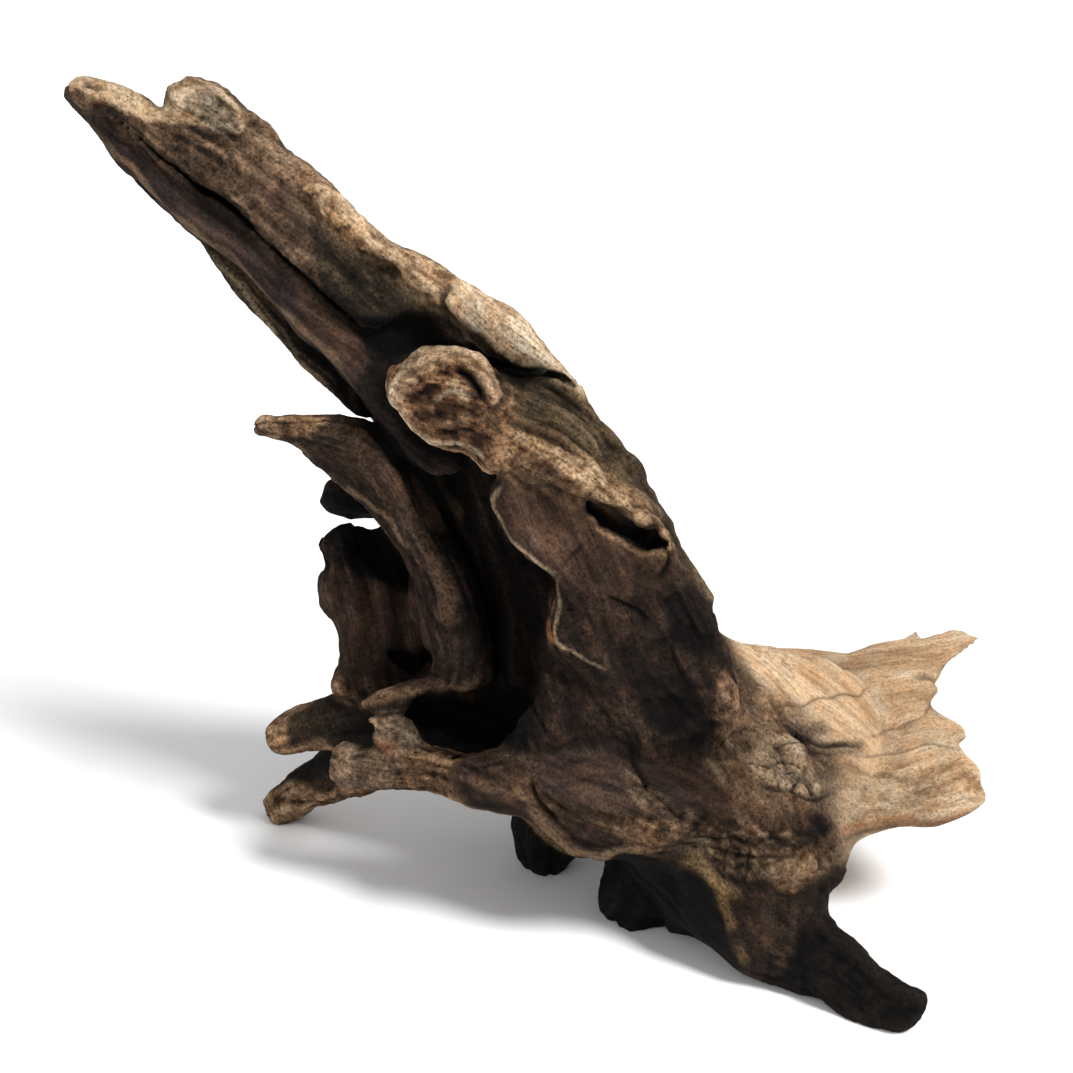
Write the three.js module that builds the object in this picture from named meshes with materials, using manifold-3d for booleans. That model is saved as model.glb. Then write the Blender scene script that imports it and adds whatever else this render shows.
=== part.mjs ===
// Aquarium driftwood: a weathered root stump that stands on its root tips. A long split spar
// leans up to the left, the trunk is hollow in front with a curved rib beside the hollow, and
// a broad thin fan of root wood spreads to the right. Millimetres, +Z up, floor at z = 0.
import * as THREE from "three";
import Module from "manifold-3d";
import { mergeVertices } from "three/addons/utils/BufferGeometryUtils.js";

const wasm = await Module();
wasm.setup();

// Driving dimensions
const LEAN = THREE.MathUtils.degToRad(27);
const FACE_MIDDLE = 130;
const STAND = [-2.3, -11.92];
const CELL = 2.6;
const ROUGH = 4;
const TRIANGLES = 7700;
const FORK_GAP = 0.3;
const TOUCH = 0.1;
const LIMB_STEPS = 4;
const LEAST_LIMB = 0.4;
const LEAST_SHEET = 1.2;
const OUTLINE_STEPS = 3;
const LONG_OUTLINE = 34;
const LONG_OUTLINE_STEPS = 2;
const FLAT = 1e-3;
const MOST_TURN = 0.2;
const WELD = 1e-4;
const TINY = 1e-9;
const LOWEST = [-162, -112, -12];
const HIGHEST = [168, 94, 286];
const REACH = 16;
const FAR = 30;

// Grain directions on the wood's face, in degrees from level, and the spar's own tilt
const SPAR_GRAIN = -38;
const TRUNK_GRAIN = -62;
const FAN_GRAIN = 8;

// Colours of the dry wood
const PALE = { color: 0xbd9a7a, roughness: 0.85, metalness: 0 };
const BROWN = { color: 0x7d6450, roughness: 0.85, metalness: 0 };
const DARK = { color: 0x4a3a2e, roughness: 0.9, metalness: 0 };

// Limbs: rounded lengths of wood along a spine. A row is x, y, z of the spine, then the half
// width along side and the half thickness. Flutes are their number, depth and twist.
const LIMBS = [
  {
    name: "trunk", blend: 14, side: [0.87, -0.2, 0.45], flutes: [7, 1.6, 0.03],
    rows: [[-16, 20, 168, 14, 12], [-3, 20, 142, 21, 16], [14, 16, 108, 26, 21],
      [30, 8, 76, 29, 25], [44, -6, 50, 31, 22]],
  },
  {
    name: "spar_core", blend: 8, side: [0.5, -0.3, 0.8],
    rows: [[-110, 50, 246, 6, 6], [-88, 46, 224, 11, 8], [-60, 38, 200, 13, 9],
      [-30, 28, 182, 15, 11], [0, 22, 160, 16, 13]],
  },
  {
    name: "cross_root", blend: 7, side: [0, -0.5, 1],
    rows: [[-63, -8, 48, 8.5, 7.5], [-50, -14, 50, 8, 7.5], [-35, -20, 53, 8, 7.5],
      [-22, -26, 54, 8, 8], [-5, -32, 54, 10, 9], [16, -36, 52, 13, 10], [37, -40, 47, 15, 11]],
  },
  {
    name: "leg", blend: 12, side: [0.2, 1, 0],
    rows: [[46, -34, 28, 14, 12], [72, -53, 14, 13, 11], [93, -69, 9, 10, 9], [110, -83, 5, 8, 8],
      [118, -88, 5, 7, 7]],
  },
  {
    name: "buttress", blend: 12, side: [1, 0, 0.3],
    rows: [[76, -34, 46, 15, 10], [80, -46, 32, 12, 10], [79, -57, 17, 11, 10]],
  },
  {
    name: "stub_left", blend: 10, side: [1, 0, 0],
    rows: [[18, 2, 38, 16, 14], [6, 6, 20, 13, 11], [3, 7, 5, 10, 8]],
  },
  {
    name: "stub_mid", blend: 10, side: [1, 0, 0],
    rows: [[58, -26, 30, 18, 14], [41, -24, 18, 18, 12], [32, -26, 7, 12, 10]],
  },
  {
    name: "stub_low", blend: 10, side: [1, 0, 0],
    rows: [[60, -36, 26, 14, 12], [54, -40, 12, 11, 9]],
  },
  {
    name: "rear_root", blend: 12, side: [1, 0, 0], flutes: [4, 1, 0.05],
    rows: [[34, 12, 74, 20, 16], [56, 32, 44, 17, 13], [72, 50, 18, 13, 10], [80, 62, 5, 11, 8]],
  },
  {
    name: "rear_left", blend: 12, side: [1, 0, 0.3], flutes: [4, 1, 0.05],
    rows: [[-8, 26, 120, 18, 9], [-24, 30, 90, 17, 10], [-40, 28, 62, 14, 10],
      [-56, 28, 40, 10, 9]],
  },
  {
    name: "rear_mid", blend: 12, side: [1, 0, 0], flutes: [3, 1, 0.05],
    rows: [[4, 30, 110, 18, 10], [8, 34, 80, 17, 10], [10, 36, 56, 14, 9], [8, 38, 40, 9, 7]],
  },
  {
    name: "rib", blend: 6, side: [0.6, -0.3, 0.7],
    rows: [[-90, 10, 165, 3.5, 3], [-74, 12, 161, 7, 5], [-58, 14, 153, 12, 6],
      [-44, 12, 135, 12, 6], [-32, 6, 113, 9, 7], [-25, 0, 91, 9, 7], [-26, -4, 76, 9, 7],
      [-38, -2, 68, 9, 7]],
  },
  {
    name: "knob", blend: 6, side: [0, 0, 1],
    rows: [[-66, 40, 125, 6, 6], [-56, 42, 123, 6.5, 6], [-44, 44, 120, 6, 6],
      [-26, 40, 112, 8, 8]],
  },
  {
    name: "toe_upper", blend: 6, side: [0.2, 0, 1],
    rows: [[-85, 25, 40, 8.5, 8], [-70, 22, 46, 9.5, 9], [-47, 16, 54, 9, 8],
      [-23, 8, 57, 12, 10]],
  },
  {
    name: "toe_lower", blend: 6, side: [0.2, 0, 1],
    rows: [[-89, 37, 5, 8, 7], [-77, 32, 18, 9, 8], [-51, 20, 35, 10, 9], [-30, 10, 45, 11, 10]],
  },
  {
    name: "inner_ridge", blend: 4, side: [0.6, -0.3, 0.7],
    rows: [[-45, 33, 160, 4, 4], [-29, 22, 138, 4, 4], [-15, 15, 119, 4.5, 4], [-8, 8, 99, 5, 4],
      [-7, 0, 77, 4, 4]],
  },
  {
    name: "base", blend: 12, side: [1, 0, 0],
    rows: [[-40, 14, 50, 12, 12], [-6, 6, 54, 20, 20], [28, 2, 56, 28, 24]],
  },
];

// Sheets: flat-lying forms seen square on from the front, by their outline on the leaning face
// (across, then up from its middle). Their depth on the face is a plane: its height there, and
// its rise across and up. The grain is its direction, the distance between ridges and their height.
const SHEETS = [
  {
    name: "spar_top", blend: 3, plane: [11, 0, 0], half: [10, 0.035], rim: 6,
    grain: [SPAR_GRAIN, 9, 0.7],
    outline: [[-150, 143], [-148, 147], [-141, 146], [-133, 144], [-125, 142], [-121, 140],
      [-119, 146], [-114, 150], [-108, 148], [-101, 146], [-95, 142], [-88, 135], [-80, 125],
      [-76, 121], [-68, 115], [-57, 104], [-44, 92], [-31, 84], [-18, 76], [-13, 64], [-22, 60],
      [-38, 60], [-49, 61], [-59, 69], [-68, 77], [-76, 86], [-84, 94], [-92, 101], [-101, 108],
      [-108, 113], [-114, 118], [-121, 124], [-128, 129], [-137, 134], [-145, 137]],
  },
  {
    name: "spar_low", blend: 1.2, plane: [5, 0, 0], half: [9, 0.03], rim: 6,
    grain: [SPAR_GRAIN, 12, 0.4],
    outline: [[-152, 142], [-145, 146], [-127, 140], [-113, 129], [-99, 119], [-82, 105],
      [-67, 87], [-57, 80], [-43, 68], [-25, 51], [-25, 22], [-38, 24], [-48, 35], [-57, 44],
      [-64, 53], [-69, 59], [-80, 70], [-97, 87], [-113, 100], [-127, 113], [-135, 120],
      [-143, 131]],
  },
  {
    name: "flange", blend: 2, plane: [-6, 0, 0], half: [2.7, 0], rim: 2.2,
    outline: [[-135, 119], [-128, 111], [-117, 102], [-110, 96], [-107, 91], [-98, 79], [-89, 70],
      [-80, 61], [-70, 50], [-61, 40], [-52, 43], [-63, 61], [-79, 78], [-97, 94], [-113, 109],
      [-127, 120]],
  },
  {
    name: "shoulder", blend: 2, plane: [18, 0, 0], half: [6, 0], rim: 5,
    grain: [SPAR_GRAIN, 10, 0.5],
    outline: [[-76, 111], [-71, 114], [-64, 111], [-59, 106], [-51, 99], [-43, 92], [-31, 85],
      [-24, 81], [-29, 75], [-31, 71], [-36, 75], [-43, 82], [-45, 87], [-53, 90], [-60, 91],
      [-66, 97], [-71, 104], [-74, 108]],
  },
  {
    name: "shoulder_lobe", blend: 2, plane: [20, 0, 0], half: [7, 0], rim: 6,
    grain: [SPAR_GRAIN, 10, 0.4],
    outline: [[-31, 75], [-29, 80], [-24, 81], [-14, 77], [-7, 72], [3, 60], [15, 47], [6, 50],
      [-5, 53], [-12, 56], [-19, 61], [-26, 66], [-30, 71]],
  },
  {
    name: "nodule", blend: 3, plane: [32, 0, 0], half: [10, 0], rim: 9, grain: [-20, 9, 0.7],
    outline: [[-48, 47], [-46, 53], [-40, 57], [-33, 60], [-25, 59], [-16, 56], [-10, 48], [-8, 37],
      [-10, 26], [-15, 20], [-22, 24], [-29, 27], [-38, 33], [-44, 40]],
  },
  {
    name: "crown", blend: 7, plane: [16, -0.2, 0.1], half: [12, 0], rim: 18, grain: [-35, 11, 0.8],
    outline: [[-21, 53], [-12, 54], [1, 52], [14, 47], [22, 36], [32, 23], [41, 9], [51, -9],
      [57, -24], [34, -21], [8, -1], [-12, 28], [-18, 44]],
  },
  {
    name: "ridge", blend: 5, plane: [27, -0.15, 0.1], half: [6, 0], rim: 8,
    outline: [[-18, 34], [-12, 39], [4, 31], [22, 18], [34, 10], [44, -3], [40, -7], [27, 5],
      [11, 12], [-5, 18], [-15, 23]],
  },
  {
    name: "plate_a", blend: 3, plane: [23, -0.12, 0.1], half: [5, 0], rim: 6,
    grain: [TRUNK_GRAIN, 16, 0.5],
    outline: [[-10, 22], [-15, 14], [-13, 5], [-5, -4], [3, -12], [12, -18], [27, -20], [40, -17],
      [46, -11], [33, 7], [20, 15], [4, 24], [-5, 27]],
  },
  {
    name: "plate_b", blend: 4, plane: [21, -0.1, 0.2], half: [6, 0], rim: 7,
    grain: [TRUNK_GRAIN, 14, 0.6],
    outline: [[6, -12], [5, -24], [5, -34], [11, -40], [17, -44], [19, -51], [28, -55], [47, -58],
      [66, -56], [64, -40], [55, -24], [46, -10], [27, -4], [11, -5]],
  },
  {
    name: "throat", blend: 8, plane: [-4, 0, 0.1], half: [18, 0], rim: 20,
    grain: [TRUNK_GRAIN, 14, 0.8],
    outline: [[8, -21], [-1, -34], [-3, -47], [-9, -54], [-12, -65], [-9, -75], [8, -84],
      [54, -74], [66, -56], [54, -21], [27, -1]],
  },
  {
    name: "tongue", blend: 5, plane: [-24, 0, 0.25], half: [7, 0], rim: 8, grain: [-70, 13, 0.7],
    outline: [[-50, 45], [-39, 25], [-29, 12], [-20, -3], [-16, -18], [-17, -35], [-19, -52],
      [1, -55], [21, -35], [15, -1], [-5, 25], [-25, 45]],
  },
  {
    name: "back", blend: 12, plane: [-44, 0, 0.3], half: [10, 0], rim: 20, grain: [-60, 17, 1],
    outline: [[-44, 36], [-22, 39], [11, 19], [39, -8], [58, -39], [55, -70], [8, -85],
      [-30, -78], [-42, -56], [-39, -36], [-37, -15], [-40, 6], [-45, 22]],
  },
  {
    name: "wall", blend: 5, plane: [-38, 0, 0.1], half: [6, 0], rim: 7, grain: [-80, 12, 0.6],
    outline: [[-59, 4], [-68, 3], [-73, -3], [-71, -10], [-73, -15], [-73, -22], [-68, -30],
      [-67, -42], [-70, -51], [-63, -57], [-46, -61], [-29, -56], [-29, -22], [-33, -8],
      [-42, -1], [-49, 3]],
  },
  {
    name: "apron", blend: 9, plane: [-24, -0.12, -0.25], half: [8, 0], rim: 11,
    grain: [-30, 13, 0.8],
    outline: [[-26, -73], [-12, -71], [1, -65], [28, -59], [54, -51], [74, -51], [91, -64],
      [99, -81], [97, -99], [83, -106], [70, -113], [59, -118], [50, -110], [40, -104],
      [27, -103], [14, -103], [5, -98], [-6, -91], [-22, -85]],
  },
  {
    name: "boss", blend: 4, plane: [-16, -0.12, -0.25], half: [6, 0], rim: 9, grain: [-25, 10, 0.6],
    outline: [[-3, -77], [3, -70], [21, -67], [37, -75], [57, -86], [73, -100], [53, -99],
      [27, -96], [10, -91]],
  },
  {
    name: "buttress_face", blend: 9, plane: [-1, 0, 0], half: [8, 0], rim: 9, grain: [-50, 11, 0.6],
    outline: [[57, -103], [73, -91], [91, -91], [101, -103], [100, -112], [90, -120], [88, -130],
      [88, -138], [82, -144], [75, -142], [65, -136], [54, -127], [53, -117]],
  },
  {
    name: "fan", blend: 9, plane: [-101, 0, -0.95], half: [12, -0.07], rim: 7,
    grain: [FAN_GRAIN, 15, 0.8],
    outline: [[49, -52], [57, -39], [66, -37], [79, -38], [93, -39], [108, -39], [116, -36],
      [126, -35], [132, -33], [133, -35], [145, -33], [154, -35], [153, -38], [143, -43],
      [137, -49], [135, -51], [137, -53], [134, -57], [139, -61], [144, -64], [145, -68],
      [143, -71], [144, -75], [148, -78], [150, -83], [149, -88], [142, -93], [133, -95],
      [124, -94], [115, -96], [107, -100], [101, -104], [86, -107], [70, -103], [54, -84]],
  },
  {
    name: "chip", blend: 1.5, plane: [-18, 0, 0], half: [3, 0], rim: 2,
    outline: [[-55, -59], [-48, -58], [-40, -60], [-39, -67], [-45, -71], [-51, -70], [-54, -66],
      [-53, -62]],
  },
  {
    name: "saddle", blend: 12, plane: [-11, -0.5, -0.5], half: [6, 0], rim: 12,
    outline: [[50, -40], [62, -37], [80, -38], [96, -42], [108, -52], [114, -66], [112, -80],
      [104, -90], [92, -96], [78, -90], [64, -78], [55, -60]],
  },
  {
    name: "gullet", blend: 4, plane: [-22, 0, 0], half: [6, 0], rim: 6,
    outline: [[-68, 52], [-60, 50], [-48, 47], [-36, 36], [-28, 16], [-32, 4], [-42, 16],
      [-51, 34], [-60, 44]],
  },
  {
    name: "rib_web", blend: 7, plane: [-26, 0, 0], half: [6, 0], rim: 7,
    outline: [[-41, 2], [-34, -4], [-28, -18], [-26, -36], [-29, -50], [-38, -58], [-52, -58],
      [-58, -53], [-48, -49], [-36, -47], [-32, -40], [-38, -34], [-43, -20]],
  },
];

// Hollows worn into the wood, along a spine
const HOLLOWS = [
  {
    name: "main_hollow", blend: 6, side: [0.4, 0.6, 0.3],
    rows: [[-28, 8, 152, 5, 5], [-16, 0, 128, 8, 8], [-6, -8, 104, 10, 10], [-6, -14, 82, 12, 10],
      [-14, -16, 70, 9, 8]],
  },
  {
    name: "recess", blend: 3, side: [0, -0.9, 0.45],
    rows: [[-54, 14, 195, 5, 3], [-44, 12, 196, 9, 6], [-36, 12, 196, 10, 7],
      [-27, 11, 194, 9, 6], [-18, 10, 191, 8, 3]],
  },
  {
    name: "crack", blend: 1.2, side: [0, -0.9, 0.45],
    rows: [[-31, 9, 193, 11, 2.6], [-12, 7.5, 189.5, 11, 2], [-5, 6.5, 187, 11, 1.7],
      [5, 6, 185.5, 8, 1.5], [14, 4, 182, 5, 1]],
  },
  {
    name: "wall_hollow", blend: 3, side: [0, -0.9, 0.45],
    rows: [[-57, 29, 113, 6, 6], [-50, 27, 108, 6, 8], [-44, 25, 105, 6, 6]],
  },
  {
    name: "channel", blend: 3, side: [0, -0.9, 0.45],
    rows: [[-44, 6, 154, 6, 1.5], [-38, 2, 146, 7, 2.5], [-24, -4, 124, 9, 3.5],
      [-16, -10, 104, 10, 4], [-14, -14, 84, 9, 4]],
  },
  {
    name: "cave", blend: 6, side: [0, -0.9, 0.45],
    rows: [[-38, -2, 66, 10, 6], [-24, -4, 66, 14, 9], [-9, -6, 64, 12, 9]],
  },
];

// Slots, splits and dents worn into the wood's face, by their outline
const DENTS = [
  {
    name: "slot", blend: 2, plane: [30, -0.15, 0.1], half: [8, 0], rim: 3,
    outline: [[13, 12], [20, 11], [27, 9], [33, 6], [38, 2], [42, -3], [36, -3], [30, 0], [24, 2],
      [20, 5], [17, 8]],
  },
  {
    name: "wall_hole", blend: 2, plane: [-35, 0, 0], half: [8, 0], rim: 3,
    outline: [[-52, -39], [-44, -40], [-38, -40], [-33, -38], [-34, -43], [-39, -46], [-47, -44]],
  },
  {
    name: "dent_high", blend: 5, plane: [26, 0, 0], half: [9, 0], rim: 8,
    outline: [[43, -25], [49, -20], [55, -27], [53, -36], [48, -35]],
  },
  {
    name: "dent_mid", blend: 5, plane: [17, 0, 0], half: [9, 0], rim: 8,
    outline: [[35, -54], [42, -51], [49, -54], [53, -62], [40, -64]],
  },
  {
    name: "dent_low", blend: 5, plane: [8, 0, 0], half: [9, 0], rim: 8,
    outline: [[50, -69], [57, -64], [64, -68], [67, -74], [55, -75]],
  },
];

// Slow waves that bend every form a little: wave vector, phase and sway
const WAVES = [
  { wave: [0.21, 0.05, 0.02], phase: 0.3, sway: [0.9, 0.2, 0.3] },
  { wave: [-0.04, 0.17, 0.07], phase: 1.7, sway: [-0.3, 0.8, 0.4] },
  { wave: [0.06, -0.05, 0.19], phase: 4.1, sway: [0.3, -0.4, 0.9] },
  { wave: [0.11, 0.12, -0.1], phase: 2.2, sway: [-0.5, 0.5, 0.6] },
];

// Forks: the box that takes each branch, from the cut outwards: where the cut is, which way the
// branch goes, and the box's length, width and depth
const FORKS = [
  {
    name: "side_spike", finish: BROWN,
    at: [-70, 12, 158], toward: [-0.86, -0.1, 0.5], size: [50, 24, 20],
  },
  {
    name: "spar", finish: BROWN,
    at: [-47, 30, 195], toward: [-0.7, 0.23, 0.67], size: [160, 70, 84],
  },
  {
    name: "fan", finish: PALE,
    at: [86, 2, 56], toward: [1, 0, 0], size: [100, 120, 62],
  },
  {
    name: "front_root", finish: DARK,
    at: [90, -67, 10], toward: [0.78, -0.6, -0.16], size: [60, 44, 40],
  },
  {
    name: "rear_root", finish: BROWN,
    at: [63, 40, 34], toward: [0.46, 0.5, -0.73], size: [60, 60, 50],
  },
  {
    name: "left_root", finish: BROWN,
    at: [-66, 27, 24], toward: [-0.76, 0.35, -0.55], size: [60, 24, 24],
  },
];

function smoothMin(a, b, k) {
  const h = Math.max(k - Math.abs(a - b), 0) / k;
  return Math.min(a, b) - (h * h * k) / 4;
}

function smoothMax(a, b, k) {
  return -smoothMin(-a, -b, k);
}

// One point of a Catmull-Rom curve through rows of numbers
function curveRow(p0, p1, p2, p3, t) {
  return p1.map((v, i) => 0.5 * (2 * v + (p2[i] - p0[i]) * t
    + (2 * p0[i] - 5 * v + 4 * p2[i] - p3[i]) * t * t
    + (3 * v - p0[i] - 3 * p2[i] + p3[i]) * t * t * t));
}

function openCurve(rows, steps) {
  const first = rows[0].map((v, i) => 2 * v - rows[1][i]);
  const last = rows.at(-1).map((v, i) => 2 * v - rows.at(-2)[i]);
  const all = [first, ...rows, last];
  const out = [];
  for (let i = 0; i < rows.length - 1; i++) {
    for (let s = 0; s < steps; s++) out.push(curveRow(...all.slice(i, i + 4), s / steps));
  }
  out.push(rows.at(-1));
  return out;
}

function closedCurve(rows, steps) {
  const n = rows.length;
  const out = [];
  for (let i = 0; i < n; i++) {
    const four = [-1, 0, 1, 2].map((d) => rows[(i + d + n) % n]);
    for (let s = 0; s < steps; s++) out.push(curveRow(...four, s / steps));
  }
  return out;
}

// A limb as short straight lengths, each with its start, run, side and half sizes
function makeLimb({ blend, side, rows, flutes }) {
  const curve = openCurve(rows, LIMB_STEPS);
  const at = curve.map((r) => new THREE.Vector3(r[0], r[1], r[2]));
  const half = curve.map((r) => [Math.max(r[3], LEAST_LIMB), Math.max(r[4], LEAST_LIMB)]);
  const frames = at.map((p, i) => {
    const run = at[Math.min(i + 1, at.length - 1)].clone().sub(at[Math.max(i - 1, 0)]).normalize();
    const across = new THREE.Vector3(...side);
    across.addScaledVector(run, -across.dot(run)).normalize();
    return { across, face: run.clone().cross(across) };
  });
  const box = new THREE.Box3().setFromPoints(at);
  box.expandByScalar(Math.max(...half.flat()) + REACH);
  const lengths = [];
  let along = 0;
  for (let i = 0; i < at.length - 1; i++) {
    const run = at[i + 1].clone().sub(at[i]);
    lengths.push({ start: at[i], run, long: run.length(), along, a: i, b: i + 1 });
    along += run.length();
  }
  return { blend, box, half, frames, lengths, flutes };
}

const offset = new THREE.Vector3();
const across = new THREE.Vector3();
const face = new THREE.Vector3();

// Distance from a point to the limb's surface
function limbDistance(limb, p) {
  let best = Infinity;
  for (const { start, run, long, along, a, b } of limb.lengths) {
    offset.subVectors(p, start);
    const t = THREE.MathUtils.clamp(offset.dot(run) / (long * long), 0, 1);
    offset.addScaledVector(run, -t);
    across.lerpVectors(limb.frames[a].across, limb.frames[b].across, t);
    const wide = limb.half[a][0] * (1 - t) + limb.half[b][0] * t;
    const thin = limb.half[a][1] * (1 - t) + limb.half[b][1] * t;
    const x = offset.dot(across);
    const over = Math.max(Math.abs(x) - Math.max(wide - thin, 0), 0);
    let d = Math.sqrt(Math.max(offset.lengthSq() - x * x, 0) + over * over) - Math.min(thin, wide);
    if (limb.flutes) {
      const [count, depth, twist] = limb.flutes;
      face.lerpVectors(limb.frames[a].face, limb.frames[b].face, t);
      const angle = Math.atan2(offset.dot(face), x);
      d += depth * Math.cos(count * angle + twist * (along + t * long));
    }
    best = Math.min(best, d);
  }
  return best;
}

function makeSheet({ blend, plane, half, rim, grain, outline }) {
  const steps = outline.length > LONG_OUTLINE ? LONG_OUTLINE_STEPS : OUTLINE_STEPS;
  const ring = closedCurve(outline, steps);
  const box = new THREE.Box3();
  for (const [u, v] of ring) {
    const mid = plane[0] + plane[1] * u + plane[2] * v;
    const thick = Math.max(half[0] + half[1] * u, LEAST_SHEET);
    box.expandByPoint(new THREE.Vector3(u, v, mid - thick));
    box.expandByPoint(new THREE.Vector3(u, v, mid + thick));
  }
  box.expandByScalar(REACH);
  return { blend, plane, half, rim, grain, ring, box, slope: Math.hypot(1, plane[1], plane[2]) };
}

// Distance from a point to a closed outline, negative inside it
function outlineDistance(ring, u, v) {
  let best = Infinity;
  let inside = false;
  for (let i = 0, j = ring.length - 1; i < ring.length; j = i++) {
    const [au, av] = ring[j];
    const eu = ring[i][0] - au;
    const ev = ring[i][1] - av;
    const ru = u - au;
    const rv = v - av;
    const t = THREE.MathUtils.clamp((ru * eu + rv * ev) / Math.max(eu * eu + ev * ev, TINY), 0, 1);
    best = Math.min(best, (ru - t * eu) ** 2 + (rv - t * ev) ** 2);
    if (v >= av !== v >= ring[i][1] && u < au + (rv * eu) / (ev || TINY)) inside = !inside;
  }
  return inside ? -Math.sqrt(best) : Math.sqrt(best);
}

// Height of the long grain ridges at a point of a sheet
function ridges([angle, gap, height], { x, y, z }) {
  const c = Math.cos(THREE.MathUtils.degToRad(angle));
  const s = Math.sin(THREE.MathUtils.degToRad(angle));
  const along = (x * c + y * s) / gap;
  const over = (y * c - x * s) / gap;
  const bend = 1.3 * Math.sin(along * 0.9) + 0.8 * Math.sin((z / gap) * 1.7);
  return height * Math.sin(2 * Math.PI * over + bend) * (0.6 + 0.4 * Math.sin(along * 0.7 + 1.3));
}

// Distance from a point of the face's own frame to the sheet's surface
function sheetDistance(sheet, p) {
  const { plane, rim, ring, slope, grain } = sheet;
  const out = outlineDistance(ring, p.x, p.y);
  const mid = plane[0] + plane[1] * p.x + plane[2] * p.y;
  const thick = Math.max(sheet.half[0] + sheet.half[1] * p.x, LEAST_SHEET);
  const round = Math.min(rim, thick);
  const a = out > 0 ? out + round : ((out + rim) * round) / rim;
  const b = Math.abs(p.z - mid) / slope - thick + round;
  const d = Math.min(Math.max(a, b), 0) + Math.hypot(Math.max(a, 0), Math.max(b, 0)) - round;
  return grain ? d + ridges(grain, p) : d;
}

const limbs = LIMBS.map(makeLimb);
const hollows = HOLLOWS.map(makeLimb);
const sheets = SHEETS.map(makeSheet);
const dents = DENTS.map(makeSheet);
const waves = WAVES.map(({ wave, phase, sway }) => (
  { wave: new THREE.Vector3(...wave), phase, sway: new THREE.Vector3(...sway) }));
const bent = new THREE.Vector3();
const onFace = new THREE.Vector3();

// The wood itself: negative inside it, in millimetres from its surface
function wood(point) {
  bent.copy(point);
  for (const { wave, phase, sway } of waves) {
    bent.addScaledVector(sway, Math.sin(point.dot(wave) + phase));
  }
  const up = bent.z - FACE_MIDDLE;
  onFace.set(bent.x, bent.y * Math.sin(LEAN) + up * Math.cos(LEAN),
    up * Math.sin(LEAN) - bent.y * Math.cos(LEAN));
  let d = FAR;
  for (const form of sheets) {
    if (form.box.containsPoint(onFace)) d = smoothMin(d, sheetDistance(form, onFace), form.blend);
  }
  for (const form of limbs) {
    if (form.box.containsPoint(bent)) d = smoothMin(d, limbDistance(form, bent), form.blend);
  }
  for (const form of hollows) {
    if (form.box.containsPoint(bent)) d = smoothMax(d, -limbDistance(form, bent), form.blend);
  }
  for (const form of dents) {
    if (form.box.containsPoint(onFace)) d = smoothMax(d, -sheetDistance(form, onFace), form.blend);
  }
  return d;
}

// The field on a grid of points, worked out closely only near the surface
function sampleGrid() {
  const size = LOWEST.map((low, i) => Math.ceil((HIGHEST[i] - low) / CELL / ROUGH) * ROUGH + 1);
  const rough = size.map((n) => (n - 1) / ROUGH);
  const [nx, ny, nz] = size;
  const value = new Float32Array(nx * ny * nz).fill(FAR);
  const p = new THREE.Vector3();
  const at = (i, j, k) => wood(p.set(
    LOWEST[0] + i * CELL, LOWEST[1] + j * CELL, LOWEST[2] + k * CELL));
  const near = ROUGH * CELL;
  for (let a = 0; a < rough[0]; a++) {
    for (let b = 0; b < rough[1]; b++) {
      for (let c = 0; c < rough[2]; c++) {
        const middle = at((a + 0.5) * ROUGH, (b + 0.5) * ROUGH, (c + 0.5) * ROUGH);
        for (let i = a * ROUGH; i <= (a + 1) * ROUGH; i++) {
          for (let j = b * ROUGH; j <= (b + 1) * ROUGH; j++) {
            for (let k = c * ROUGH; k <= (c + 1) * ROUGH; k++) {
              const n = (i * ny + j) * nz + k;
              if (Math.abs(middle) > near) {
                if (value[n] === FAR) value[n] = Math.sign(middle) * (FAR - 1);
              } else if (Math.abs(value[n]) >= FAR - 1) {
                value[n] = at(i, j, k);
              }
            }
          }
        }
      }
    }
  }
  return { value, size };
}

// Fill the grid squares whose corners alternate, where the surface would touch itself
function closeTouches({ value, size }) {
  const [, ny, nz] = size;
  const step = [ny * nz, nz, 1];
  const pairs = [[0, 1], [0, 2], [1, 2]];
  let found = true;
  while (found) {
    found = false;
    for (let n = 0; n < value.length - step[0] - step[1]; n++) {
      for (const [u, v] of pairs) {
        const ring = [n, n + step[u], n + step[u] + step[v], n + step[v]];
        const [a, b, c, d] = ring.map((at) => value[at] < 0);
        if (a !== c || b !== d || a === b) continue;
        const outer = ring.filter((at) => value[at] >= 0);
        value[value[outer[0]] < value[outer[1]] ? outer[0] : outer[1]] = -TOUCH;
        found = true;
      }
    }
  }
  return { value, size };
}

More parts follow.
